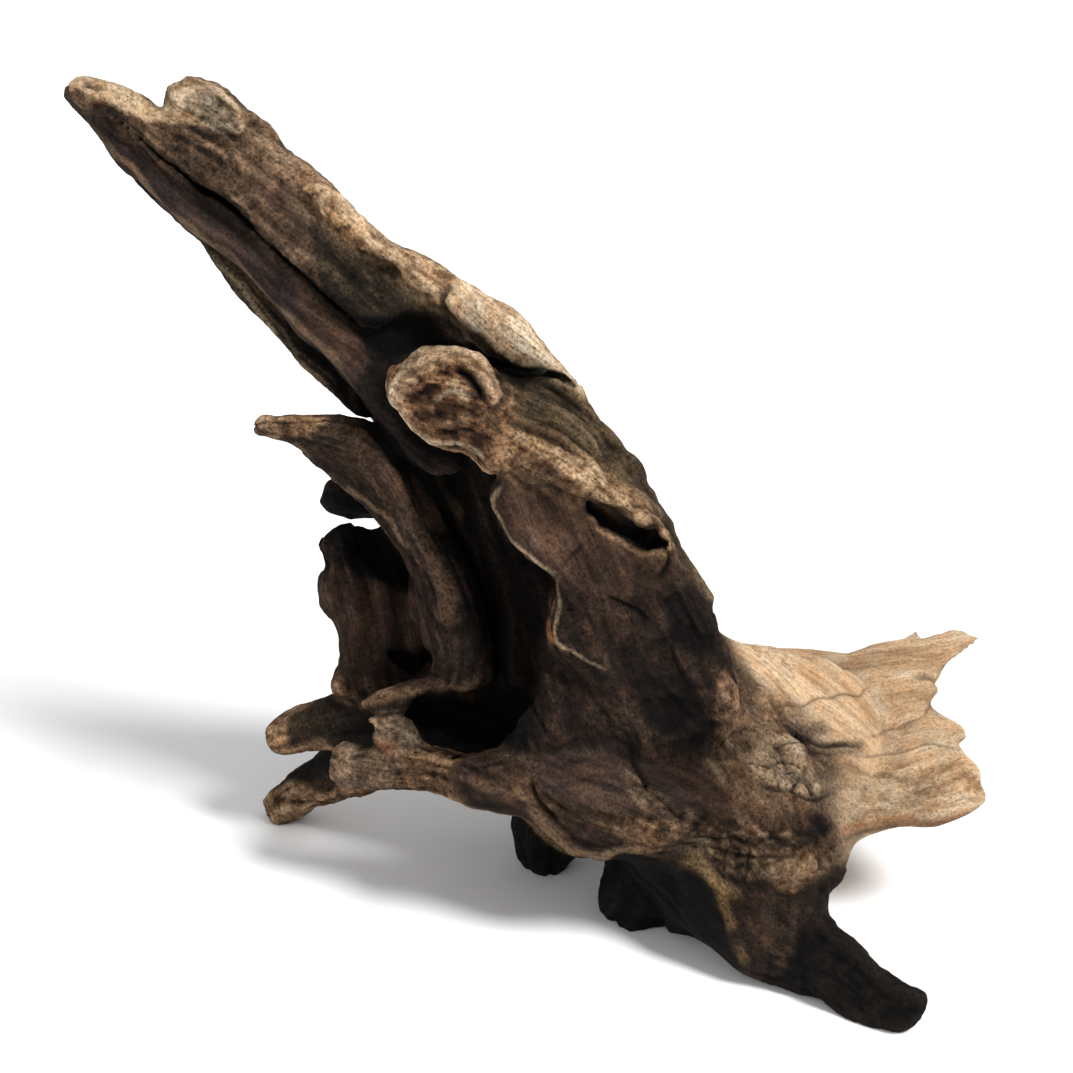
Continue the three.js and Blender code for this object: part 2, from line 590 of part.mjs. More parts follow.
// Surface nets: one point in each cell that the surface crosses, and a square round each edge
function surfaceNets({ value, size }) {
  const [nx, ny, nz] = size;
  const index = (i, j, k) => (i * ny + j) * nz + k;
  const number = new Int32Array(nx * ny * nz).fill(-1);
  const points = [];
  const corners = [0, 1, 2, 3, 4, 5, 6, 7].map((c) => [c & 1, (c >> 1) & 1, (c >> 2) & 1]);
  const edges = [];
  corners.forEach((a, i) => corners.forEach((b, j) => {
    if (j > i && a.reduce((n, v, d) => n + Math.abs(v - b[d]), 0) === 1) edges.push([a, b]);
  }));
  for (let i = 0; i < nx - 1; i++) {
    for (let j = 0; j < ny - 1; j++) {
      for (let k = 0; k < nz - 1; k++) {
        const sum = [0, 0, 0];
        let count = 0;
        for (const [a, b] of edges) {
          const va = value[index(i + a[0], j + a[1], k + a[2])];
          const vb = value[index(i + b[0], j + b[1], k + b[2])];
          if (va < 0 === vb < 0) continue;
          const t = va / (va - vb);
          for (let d = 0; d < 3; d++) sum[d] += a[d] + (b[d] - a[d]) * t;
          count++;
        }
        if (!count) continue;
        number[index(i, j, k)] = points.length;
        points.push([i, j, k].map((n, d) => LOWEST[d] + (n + sum[d] / count) * CELL));
      }
    }
  }
  const faces = [];
  const steps = [[1, 0, 0], [0, 1, 0], [0, 0, 1]];
  for (let i = 1; i < nx - 1; i++) {
    for (let j = 1; j < ny - 1; j++) {
      for (let k = 1; k < nz - 1; k++) {
        const here = value[index(i, j, k)] < 0;
        for (let d = 0; d < 3; d++) {
          const [x, y, z] = steps[d];
          if (here === value[index(i + x, j + y, k + z)] < 0) continue;
          const u = steps[(d + 1) % 3];
          const v = steps[(d + 2) % 3];
          const ring = [[0, 0], [1, 0], [1, 1], [0, 1]].map(([a, b]) => number[index(
            i - a * u[0] - b * v[0], j - a * u[1] - b * v[1], k - a * u[2] - b * v[2])]);
          if (!here) ring.reverse();
          faces.push([ring[0], ring[1], ring[2]], [ring[0], ring[2], ring[3]]);
        }
      }
    }
  }
  return { points, faces };
}

// Smallest-first queue
class Queue {
  constructor() {
    this.items = [];
  }

  push(item) {
    const { items } = this;
    let n = items.push(item) - 1;
    while (n > 0) {
      const up = (n - 1) >> 1;
      if (items[up].cost <= item.cost) break;
      items[n] = items[up];
      n = up;
    }
    items[n] = item;
  }

  pop() {
    const { items } = this;
    const top = items[0];
    const last = items.pop();
    if (!items.length) return top;
    let n = 0;
    for (;;) {
      let down = 2 * n + 1;
      if (down >= items.length) break;
      if (down + 1 < items.length && items[down + 1].cost < items[down].cost) down++;
      if (last.cost <= items[down].cost) break;
      items[n] = items[down];
      n = down;
    }
    items[n] = last;
    return top;
  }
}

const sub = (a, b) => [a[0] - b[0], a[1] - b[1], a[2] - b[2]];
const dot = (a, b) => a[0] * b[0] + a[1] * b[1] + a[2] * b[2];
const cross = (a, b) => [a[1] * b[2] - a[2] * b[1], a[2] * b[0] - a[0] * b[2], a[0] * b[1] - a[1] * b[0]];

// Squared distance from the planes gathered in a quadric
function quadricCost(q, [x, y, z]) {
  return q[0] * x * x + q[4] * y * y + q[7] * z * z + q[9]
    + 2 * (q[1] * x * y + q[2] * x * z + q[3] * x + q[5] * y * z + q[6] * y + q[8] * z);
}

// The point that a quadric likes best, or the middle of the edge where it has none
function bestPoint(q, a, b) {
  const middle = [0, 1, 2].map((i) => (a[i] + b[i]) / 2);
  const m = new THREE.Matrix3().set(q[0], q[1], q[2], q[1], q[4], q[5], q[2], q[5], q[7]);
  const scale = Math.max(q[0], q[4], q[7]);
  if (Math.abs(m.determinant()) < FLAT * scale ** 3) return middle;
  const v = new THREE.Vector3(-q[3], -q[6], -q[8]).applyMatrix3(m.invert());
  const point = [v.x, v.y, v.z];
  const reach = Math.hypot(...sub(a, b));
  return Math.hypot(...sub(point, middle)) < reach ? point : middle;
}

// Fold short, flat edges away until few enough triangles are left
function simplify({ points, faces }, wanted) {
  const quadrics = points.map(() => new Array(10).fill(0));
  const round = points.map(() => new Set());
  const normal = (f, places) => {
    const [a, b, c] = f.map((v) => places(v));
    return cross(sub(b, a), sub(c, a));
  };
  const place = (v) => points[v];
  faces.forEach((f, n) => {
    const big = normal(f, place);
    const size = Math.hypot(...big) || TINY;
    const [x, y, z] = big.map((v) => v / size);
    const w = -dot([x, y, z], points[f[0]]);
    const plane = [x * x, x * y, x * z, x * w, y * y, y * z, y * w, z * z, z * w, w * w];
    for (const v of f) {
      round[v].add(n);
      plane.forEach((value, i) => { quadrics[v][i] += value * size; });
    }
  });
  const stamp = new Int32Array(points.length);
  const queue = new Queue();
  const consider = (a, b) => {
    const q = quadrics[a].map((v, i) => v + quadrics[b][i]);
    const point = bestPoint(q, points[a], points[b]);
    queue.push({ cost: quadricCost(q, point), a, b, point, when: stamp[a] + stamp[b] });
  };
  const others = (v) => new Set([...round[v]].flatMap((n) => faces[n]).filter((o) => o !== v));
  faces.forEach((f) => f.forEach((a, i) => {
    const b = f[(i + 1) % 3];
    if (a < b) consider(a, b);
  }));
  const turns = (v, gone, point) => [...round[v]].some((n) => {
    if (faces[n].includes(gone)) return false;
    const before = normal(faces[n], place);
    const after = normal(faces[n], (o) => (o === v ? point : points[o]));
    return dot(before, after) < MOST_TURN * Math.hypot(...before) * Math.hypot(...after) + TINY;
  });
  let left = faces.length;
  while (left > wanted && queue.items.length) {
    const { a, b, point, when } = queue.pop();
    if (!round[a].size || !round[b].size || when !== stamp[a] + stamp[b]) continue;
    const near = others(b);
    if (!near.has(a)) continue;
    const shared = [...others(a)].filter((v) => near.has(v));
    if (shared.length !== 2 || turns(a, b, point) || turns(b, a, point)) continue;
    points[a] = point;
    quadrics[a] = quadrics[a].map((v, i) => v + quadrics[b][i]);
    for (const n of round[b]) {
      if (faces[n].includes(a)) {
        for (const v of faces[n]) if (v !== b) round[v].delete(n);
        faces[n] = null;
        left--;
      } else {
        faces[n] = faces[n].map((v) => (v === b ? a : v));
        round[a].add(n);
      }
    }
    round[b].clear();
    stamp[a]++;
    for (const v of others(a)) stamp[v]++;
    for (const v of others(a)) {
      for (const o of others(v)) consider(Math.min(v, o), Math.max(v, o));
    }
  }
  return { points, faces: faces.filter(Boolean) };
}

function solidOf(geometry) {
  const bare = geometry.clone();
  bare.deleteAttribute("normal");
  bare.deleteAttribute("uv");
  const merged = mergeVertices(bare, WELD);
  return new wasm.Manifold(new wasm.Mesh({
    numProp: 3,
    vertProperties: new Float32Array(merged.attributes.position.array),
    triVerts: new Uint32Array(merged.index.array),
  }));
}

function geometryOf(solid) {
  const mesh = solid.getMesh();
  const geometry = new THREE.BufferGeometry();
  geometry.setAttribute("position", new THREE.BufferAttribute(new Float32Array(mesh.vertProperties), 3));
  geometry.setIndex(new THREE.BufferAttribute(new Uint32Array(mesh.triVerts), 1));
  geometry.computeVertexNormals();
  return geometry;
}

// Everything below the floor, which leaves the root tips with flat faces to stand on
function underFloor() {
  const deep = 40;
  const wide = 500;
  return solidOf(new THREE.BoxGeometry(wide, wide, deep).translate(0, 0, -deep / 2));
}

// A fork's box, grown on every side by a gap
function forkBox({ at, toward, size }, gap) {
  const run = new THREE.Vector3(...toward).normalize();
  const side = new THREE.Vector3(0, 0, 1).cross(run).normalize();
  const top = run.clone().cross(side);
  const [long, wide, deep] = size;
  const box = new THREE.BoxGeometry(long + 2 * gap, wide + 2 * gap, deep + 2 * gap);
  box.translate(long / 2, 0, 0);
  box.applyMatrix4(new THREE.Matrix4().makeBasis(run, side, top));
  box.translate(...at);
  return solidOf(box);
}

function carveWhole() {
  const { points, faces } = simplify(surfaceNets(closeTouches(sampleGrid())), TRIANGLES);
  const geometry = new THREE.BufferGeometry();
  geometry.setAttribute("position", new THREE.Float32BufferAttribute(points.flat(), 3));
  geometry.setIndex(faces.flat());
  return solidOf(geometry).subtract(underFloor());
}

function addPiece(group, name, finish, solid) {
  const geometry = geometryOf(solid);
  geometry.translate(-STAND[0], -STAND[1], 0);
  const mesh = new THREE.Mesh(geometry, new THREE.MeshStandardMaterial(finish));
  mesh.name = name;
  group.add(mesh);
}

const driftwood = new THREE.Group();
let trunk = carveWhole();
for (const fork of FORKS) {
  addPiece(driftwood, fork.name, fork.finish, trunk.intersect(forkBox(fork, 0)));
  trunk = trunk.subtract(forkBox(fork, FORK_GAP));
}
addPiece(driftwood, "trunk", BROWN, trunk);

export default driftwood;
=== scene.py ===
"""Aquarium driftwood, dressed. The wood is worked out as a field: the same limbs, sheets, hollows and dents
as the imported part, with fine cracks added. Its surface becomes a mesh with grain, pits and colours that
follow each form, split at the part's own forks. Lengths are in millimetres until a mesh is made, then in
metres."""
from concurrent.futures import ThreadPoolExecutor

import bpy
import numpy as np
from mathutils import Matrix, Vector


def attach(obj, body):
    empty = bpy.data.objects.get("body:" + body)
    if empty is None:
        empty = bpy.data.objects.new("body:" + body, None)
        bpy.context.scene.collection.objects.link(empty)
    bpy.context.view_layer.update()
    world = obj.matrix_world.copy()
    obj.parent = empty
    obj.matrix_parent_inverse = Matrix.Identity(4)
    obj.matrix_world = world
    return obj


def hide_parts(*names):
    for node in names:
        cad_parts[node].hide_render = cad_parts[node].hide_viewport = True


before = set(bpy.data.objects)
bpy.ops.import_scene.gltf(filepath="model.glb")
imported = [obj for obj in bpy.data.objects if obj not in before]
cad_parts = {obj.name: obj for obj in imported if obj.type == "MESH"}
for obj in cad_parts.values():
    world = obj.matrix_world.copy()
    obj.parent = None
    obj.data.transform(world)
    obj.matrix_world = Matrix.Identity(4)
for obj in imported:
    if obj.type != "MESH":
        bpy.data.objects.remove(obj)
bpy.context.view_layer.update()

# Driving dimensions, as in the part's source
LEAN = np.radians(27)
FACE_MIDDLE = 130.0
VIEWER = np.array([0.0, -np.cos(LEAN), np.sin(LEAN)])
STAND = np.array([-2.3, -11.92, 0.0])
LOWEST = np.array([-160.0, -104.0, -4.0])
HIGHEST = np.array([160.0, 88.0, 276.0])
REACH = 16.0
FAR = 30.0
LIMB_STEPS = 4
LEAST_LIMB = 0.4
LEAST_SHEET = 1.2
OUTLINE_STEPS = 3
LONG_OUTLINE = 34
LONG_OUTLINE_STEPS = 2
TINY = 1e-9

# Grain directions on the wood's face, in degrees from level
SPAR_GRAIN = -38
TRUNK_GRAIN = -62
FAN_GRAIN = 8

# How the ridges along a sheet's grain bend and swell: the size, and the turn in radians over one gap
BEND_ALONG = dict(size=1.3, turn=0.9)
BEND_DEEP = dict(size=0.8, turn=1.7)
SWELL = dict(least=0.6, size=0.4, turn=0.7, start=1.3)

# Grid: its step, how many times as coarse it starts, the finer steps with the band that each works out, and
# how far inside its end a place is kept
STEP = 0.8
ROUGH = 4
BANDS = ((2, 6.4), (1, 3.5))
GRID_END = 1.001
TOUCH = 0.1
THREADS = 4
SLICE = 40000
CORNERS = [np.array([i, j, k]) for i in (0, 1) for j in (0, 1) for k in (0, 1)]
MM = 0.001

# The photograph's frame and the camera
PIXELS = 1073
PIXELS_PER_MM = 3.06
CAMERA_AWAY = 1100.0
SENSOR = 36.0

# Chance values: the lattice that they are read from, and how far a seed moves the place
SEED = 7
LATTICE = 32
SEED_SHIFT = np.array([7.13, 3.71, 5.29])

# Patterns over the whole piece: the size of a lump in mm and a seed. Drawn places are shaken by some pixels,
# strokes are broken up, hues vary, and the edges of hollows are ragged.
SHAKE = 4.0
SHAKE_LUMP = 7
SHAKE_SEEDS = (300, 310)
BREAK_LUMP = 6
BREAK_SEED = 320
BREAK_FROM = (-0.9, -0.2)
HUE = np.array([0.08, 0.0, -0.08])
HUE_LUMP = 5
HUE_SEED = 330
RAGGED = 1.6
RAGGED_COARSE = dict(lump=5, seed=340)
RAGGED_FINE = dict(lump=2.4, seed=350)
RAGGED_FINE_SHARE = 0.5

# Patterns of each form's own: lumps along, over and through the grain, or round ones, and a seed to add
GRAIN_PATTERNS = dict(
    flute=((46, 9, 9), 0), fibre=((26, 2.6, 2.6), 40), fine=((14, 1.6, 1.6), 80), crack=((60, 10, 10), 120),
    crack_run=((40, 20, 20), 150),
)
ROUND_PATTERNS = dict(blotch=(34, 0), dent=(12, 10), lump=(1.8, 20), pit=(2.7, 160), net=(6, 170))
BILLOW = dict(size=2.4, sink=0.6)
CRACK_WIDTH = 0.1
CRACK_FROM = (-0.1, 0.3)
NET_WIDTH = 0.14
PIT_FROM = (0.2, 0.6)

# What each pattern adds to the height, beside the wood's own numbers, and to the tone
FINE_RISE = 0.6
PIT_SINK = 0.7
LUMP_RISE = 0.5
MIDDLE_TONE = 0.5
TONES = dict(
    blotch=0.2, flute=0.2, dent=0.12, fibre=0.25, fine=0.3, crack=-0.45, net=-0.6, lump=0.6, pit=-0.25,
)
# bulges are lighter, as wear and painted highlight, and sinks darker, as painted shade
BULGE_TONE = 0.55
BULGE_FROM = (0.12, 0.5)
SINK_SHADE = 0.5
SINK_FROM = (0.1, 0.5)

# How the surface is read: which way it faces, how open it lies, and which form it belongs to
FRONT_FROM = (0, 0.3)
REAR_FROM = (-0.1, 0.3)
OPEN_FROM = (0.3, 0.6)
OPEN_AWAY = (4.0, 9.0, 18.0)
BULGE_AWAY = 3.0
FORM_BLEND = 1.5
LEAST_WEIGHT = 0.05
SURE_FROM = (0.1, 0.6)
GRAIN_SHIFT = 37.0

# Shade in hollows, and the tint of all the wood
SHADE_LEAST = 0.08
SHADE_MOST = 1.0
SHADE_POWER = 1.8
WARMTH = np.array([1.0, 0.97, 0.98])

# Lines and areas drawn on the wood: soft edges in pixels, and how lines taper towards their ends
PATCH_EDGE = 4.0
LINE_STEPS = 3
LINE_END = 0.05
CRACK_TAPER = 4.5
CRACK_REACH = 14.0
CRACK_BLEND = 0.6
STROKE_TAPER = 5
STROKE_REACH = 3
STROKE_POWER = 4

# Lights: directions towards the wood, powers in watts a square metre and spreads, and the sky's strength
KEY_TOWARD = (-0.62, 0.42, -0.9)
KEY_POWER = 3.8
KEY_SPREAD = np.radians(16)
FILL_TOWARD = (0.8, 1.0, -0.5)
FILL_POWER = 0.35
FILL_SPREAD = np.radians(60)
SKY = 0.62

# Floor: half its width in metres, its white, roughness and gloss
FLOOR_HALF = 6.0
FLOOR_WHITE = 0.9
FLOOR_ROUGHNESS = 0.9
FLOOR_GLOSS = 0.1

# Finish: the gap and length of fibres and the size of grit, then their depths, all in metres, the roughness,
# and how much lighter or darker fibres and grit are
WOOD_GLOSS = 0.12
WOOD_IOR = 1.45
BUMP = 0.8
NOISE_RANGE = (0.3, 0.7)
NOISE_DETAIL = 4.0
FIBRE_BREAKS = 0.6
GRIT_BREAKS = 0.75
ROUGHNESS_SPREAD = 0.1
FINISHES = dict(
    spar_wood=dict(fibre_gap=0.0008, fibre_long=0.008, grit=0.0011, fibre_depth=0.0003, grit_depth=0.0010,
                   roughness=0.78, fibre_light=0.35, grit_light=0.95),
    trunk_wood=dict(fibre_gap=0.0008, fibre_long=0.012, grit=0.0012, fibre_depth=0.0004, grit_depth=0.0009,
                    roughness=0.8, fibre_light=0.4, grit_light=0.9),
    fan_wood=dict(fibre_gap=0.0006, fibre_long=0.016, grit=0.0012, fibre_depth=0.0003, grit_depth=0.0008,
                  roughness=0.76, fibre_light=0.25, grit_light=0.85),
    root_wood=dict(fibre_gap=0.0008, fibre_long=0.01, grit=0.0012, fibre_depth=0.0004, grit_depth=0.0008,
                   roughness=0.82, fibre_light=0.4, grit_light=0.8),
)

# Woods: dark, middle and light colour as sRGB bytes, then the height in mm of flutes, fibres, cracks, pits
# and, on some, a net of cracks. Grit is how strong the finest specks are, and 1 where it isn't given.
WOODS = dict(
    pale=dict(tones=((160, 126, 90), (200, 168, 130), (218, 191, 156)), rise=(0.25, 0.2, 0.3, 0.1),
         grit=0.4),
    tan=dict(tones=((34, 24, 17), (116, 88, 64), (200, 164, 124)), rise=(0.6, 0.4, 0.8, 0.5)),
    # cream is painted light: the paleness of tops and rims where the light falls
    cream=dict(tones=((146, 114, 82), (224, 193, 154), (244, 222, 186)), rise=(0.35, 0.2, 0.15, 0.6),
         grit=0.7),
    gnarl=dict(tones=((58, 40, 28), (148, 112, 80), (220, 184, 142)), rise=(0.9, 0.2, 0.5, 0.7), net=0.15),
    flake=dict(tones=((22, 17, 13), (190, 162, 128), (236, 214, 180)), rise=(0.4, 0.2, 1.0, 0.3), net=1.2),
    crag=dict(tones=((14, 11, 9), (92, 72, 54), (186, 158, 124)), rise=(0.8, 0.3, 1.1, 1.0), net=1.0),
    honey=dict(tones=((84, 58, 38), (182, 148, 110), (222, 194, 154)), rise=(0.5, 0.3, 0.5, 0.7)),
    hazel=dict(tones=((30, 21, 16), (104, 78, 58), (186, 150, 116)), rise=(0.7, 0.5, 0.9, 0.5)),
    granite=dict(tones=((40, 31, 25), (104, 83, 64), (170, 140, 110)), rise=(0.6, 0.4, 0.6, 0.5)),
    slate=dict(tones=((24, 19, 18), (52, 42, 38), (90, 70, 60)), rise=(0.4, 0.2, 0.4, 0.15), grit=0.7),
    moss=dict(tones=((22, 20, 16), (50, 44, 34), (98, 84, 64)), rise=(0.3, 0.3, 0.4, 0.4)),
    olive=dict(tones=((38, 31, 23), (88, 74, 54), (140, 119, 89)), rise=(0.5, 0.7, 0.9, 0.3)),
    russet=dict(tones=((36, 26, 20), (72, 53, 42), (114, 88, 70)), rise=(0.5, 0.25, 0.6, 0.25), grit=0.7),
    umber=dict(tones=((20, 15, 12), (47, 36, 29), (88, 68, 53)), rise=(0.7, 0.4, 0.9, 0.4)),
    ash=dict(tones=((48, 38, 30), (112, 93, 74), (166, 142, 114)), rise=(0.3, 0.3, 0.5, 0.5)),
    bark=dict(tones=((26, 20, 16), (61, 47, 38), (108, 86, 68)), rise=(0.6, 0.5, 0.9, 0.4)),
    grey=dict(tones=((46, 42, 34), (112, 103, 86), (172, 160, 136)), rise=(0.3, 0.2, 0.4, 0.7)),
    rust=dict(tones=((64, 34, 20), (142, 84, 50), (190, 132, 88)), rise=(0.3, 0.3, 0.5, 0.4)),
    lemon=dict(tones=((58, 44, 30), (122, 98, 66), (158, 130, 88)), rise=(0.3, 0.3, 0.4, 0.3)),
    # dark and black are painted shade, for the forms and places that lie in shade
    dark=dict(tones=((4, 4, 4), (13, 11, 10), (36, 29, 24)), rise=(0.9, 0.5, 0.9, 0.4)),
    black=dict(tones=((4, 4, 4), (13, 12, 12), (30, 26, 24)), rise=(0.9, 0.4, 0.8, 0.3)),
)

# Limbs: a row is x, y, z of the spine, then half the width along side and half the thickness. Flutes are
# their number, depth and twist.
LIMBS = [
    dict(name="trunk", wood="umber", blend=14, side=(0.87, -0.2, 0.45), flutes=(7, 1.6, 0.03),
         rows=[(-16, 20, 168, 14, 12), (-3, 20, 142, 21, 16), (14, 16, 108, 26, 21), (30, 8, 76, 29, 25),
         (44, -6, 50, 31, 22)]),
    dict(name="spar_core", wood="umber", blend=8, side=(0.5, -0.3, 0.8), rows=[(-110, 50, 246, 6, 6),
         (-88, 46, 224, 11, 8), (-60, 38, 200, 13, 9), (-30, 28, 182, 15, 11), (0, 22, 160, 16, 13)]),
    dict(name="cross_root", wood="tan", blend=7, side=(0, -0.5, 1), rows=[(-63, -8, 48, 8.5, 7.5),
         (-50, -14, 50, 8, 7.5), (-35, -20, 53, 8, 7.5), (-22, -26, 54, 8, 8), (-5, -32, 54, 10, 9),
         (16, -36, 52, 13, 10), (37, -40, 47, 15, 11)]),
    # the leg lies in shade under the wood, and its dark wood is painted shade
    dict(name="leg", wood="dark", blend=12, side=(0.2, 1, 0), rows=[(46, -34, 28, 14, 12),
         (72, -53, 14, 13, 11), (93, -69, 9, 10, 9), (110, -83, 5, 8, 8), (118, -88, 5, 7, 7)]),
    dict(name="buttress", wood="umber", blend=12, side=(1, 0, 0.3), rows=[(76, -34, 46, 15, 10),
         (80, -46, 32, 12, 10), (79, -57, 17, 11, 10)]),
    # the stubs lie in shade under the front, and their dark wood is painted shade
    dict(name="stub_left", wood="dark", blend=10, side=(1, 0, 0), rows=[(18, 2, 38, 16, 14),
         (6, 6, 20, 13, 11), (3, 7, 5, 10, 8)]),
    dict(name="stub_mid", wood="dark", blend=10, side=(1, 0, 0), rows=[(58, -26, 30, 18, 14),
         (41, -24, 18, 18, 12), (32, -26, 7, 12, 10)]),
    dict(name="stub_low", wood="dark", blend=10, side=(1, 0, 0), rows=[(60, -36, 26, 14, 12),
         (54, -40, 12, 11, 9)]),
    dict(name="rear_root", wood="umber", blend=12, side=(1, 0, 0), flutes=(4, 1, 0.05),
         rows=[(34, 12, 74, 20, 16), (56, 32, 44, 17, 13), (72, 50, 18, 13, 10), (80, 62, 5, 11, 8)]),
    dict(name="rear_left", wood="umber", blend=12, side=(1, 0, 0.3), flutes=(4, 1, 0.05),
         rows=[(-8, 26, 120, 18, 9), (-24, 30, 90, 17, 10), (-40, 28, 62, 14, 10), (-56, 28, 40, 10, 9)]),
    dict(name="rear_mid", wood="umber", blend=12, side=(1, 0, 0), flutes=(3, 1, 0.05),
         rows=[(4, 30, 110, 18, 10), (8, 34, 80, 17, 10), (10, 36, 56, 14, 9), (8, 38, 40, 9, 7)]),
    dict(name="rib", wood="bark", blend=6, side=(0.6, -0.3, 0.7), rows=[(-90, 10, 165, 3.5, 3),
         (-74, 12, 161, 7, 5), (-58, 14, 153, 12, 6), (-44, 12, 135, 12, 6), (-32, 6, 113, 9, 7),
         (-25, 0, 91, 9, 7), (-26, -4, 76, 9, 7), (-38, -2, 68, 9, 7)]),
    # the knob behind the rib takes dark wood as painted shade
    dict(name="knob", wood="dark", blend=6, side=(0, 0, 1), rows=[(-66, 40, 125, 6, 6),
         (-56, 42, 123, 6.5, 6), (-44, 44, 120, 6, 6), (-26, 40, 112, 8, 8)]),
    dict(name="toe_upper", wood="tan", blend=6, side=(0.2, 0, 1), rows=[(-85, 25, 40, 8.5, 8),
         (-70, 22, 46, 9.5, 9), (-47, 16, 54, 9, 8), (-23, 8, 57, 12, 10)]),
    dict(name="toe_lower", wood="tan", blend=6, side=(0.2, 0, 1), rows=[(-89, 37, 5, 8, 7),
         (-77, 32, 18, 9, 8), (-51, 20, 35, 10, 9), (-30, 10, 45, 11, 10)]),
    dict(name="inner_ridge", wood="umber", blend=4, side=(0.6, -0.3, 0.7), rows=[(-45, 33, 160, 4, 4),
         (-29, 22, 138, 4, 4), (-15, 15, 119, 4.5, 4), (-8, 8, 99, 5, 4), (-7, 0, 77, 4, 4)]),
    # the base deep in the hollow takes dark wood as painted shade
    dict(name="base", wood="dark", blend=12, side=(1, 0, 0), rows=[(-40, 14, 50, 12, 12),
         (-6, 6, 54, 20, 20), (28, 2, 56, 28, 24)]),
]

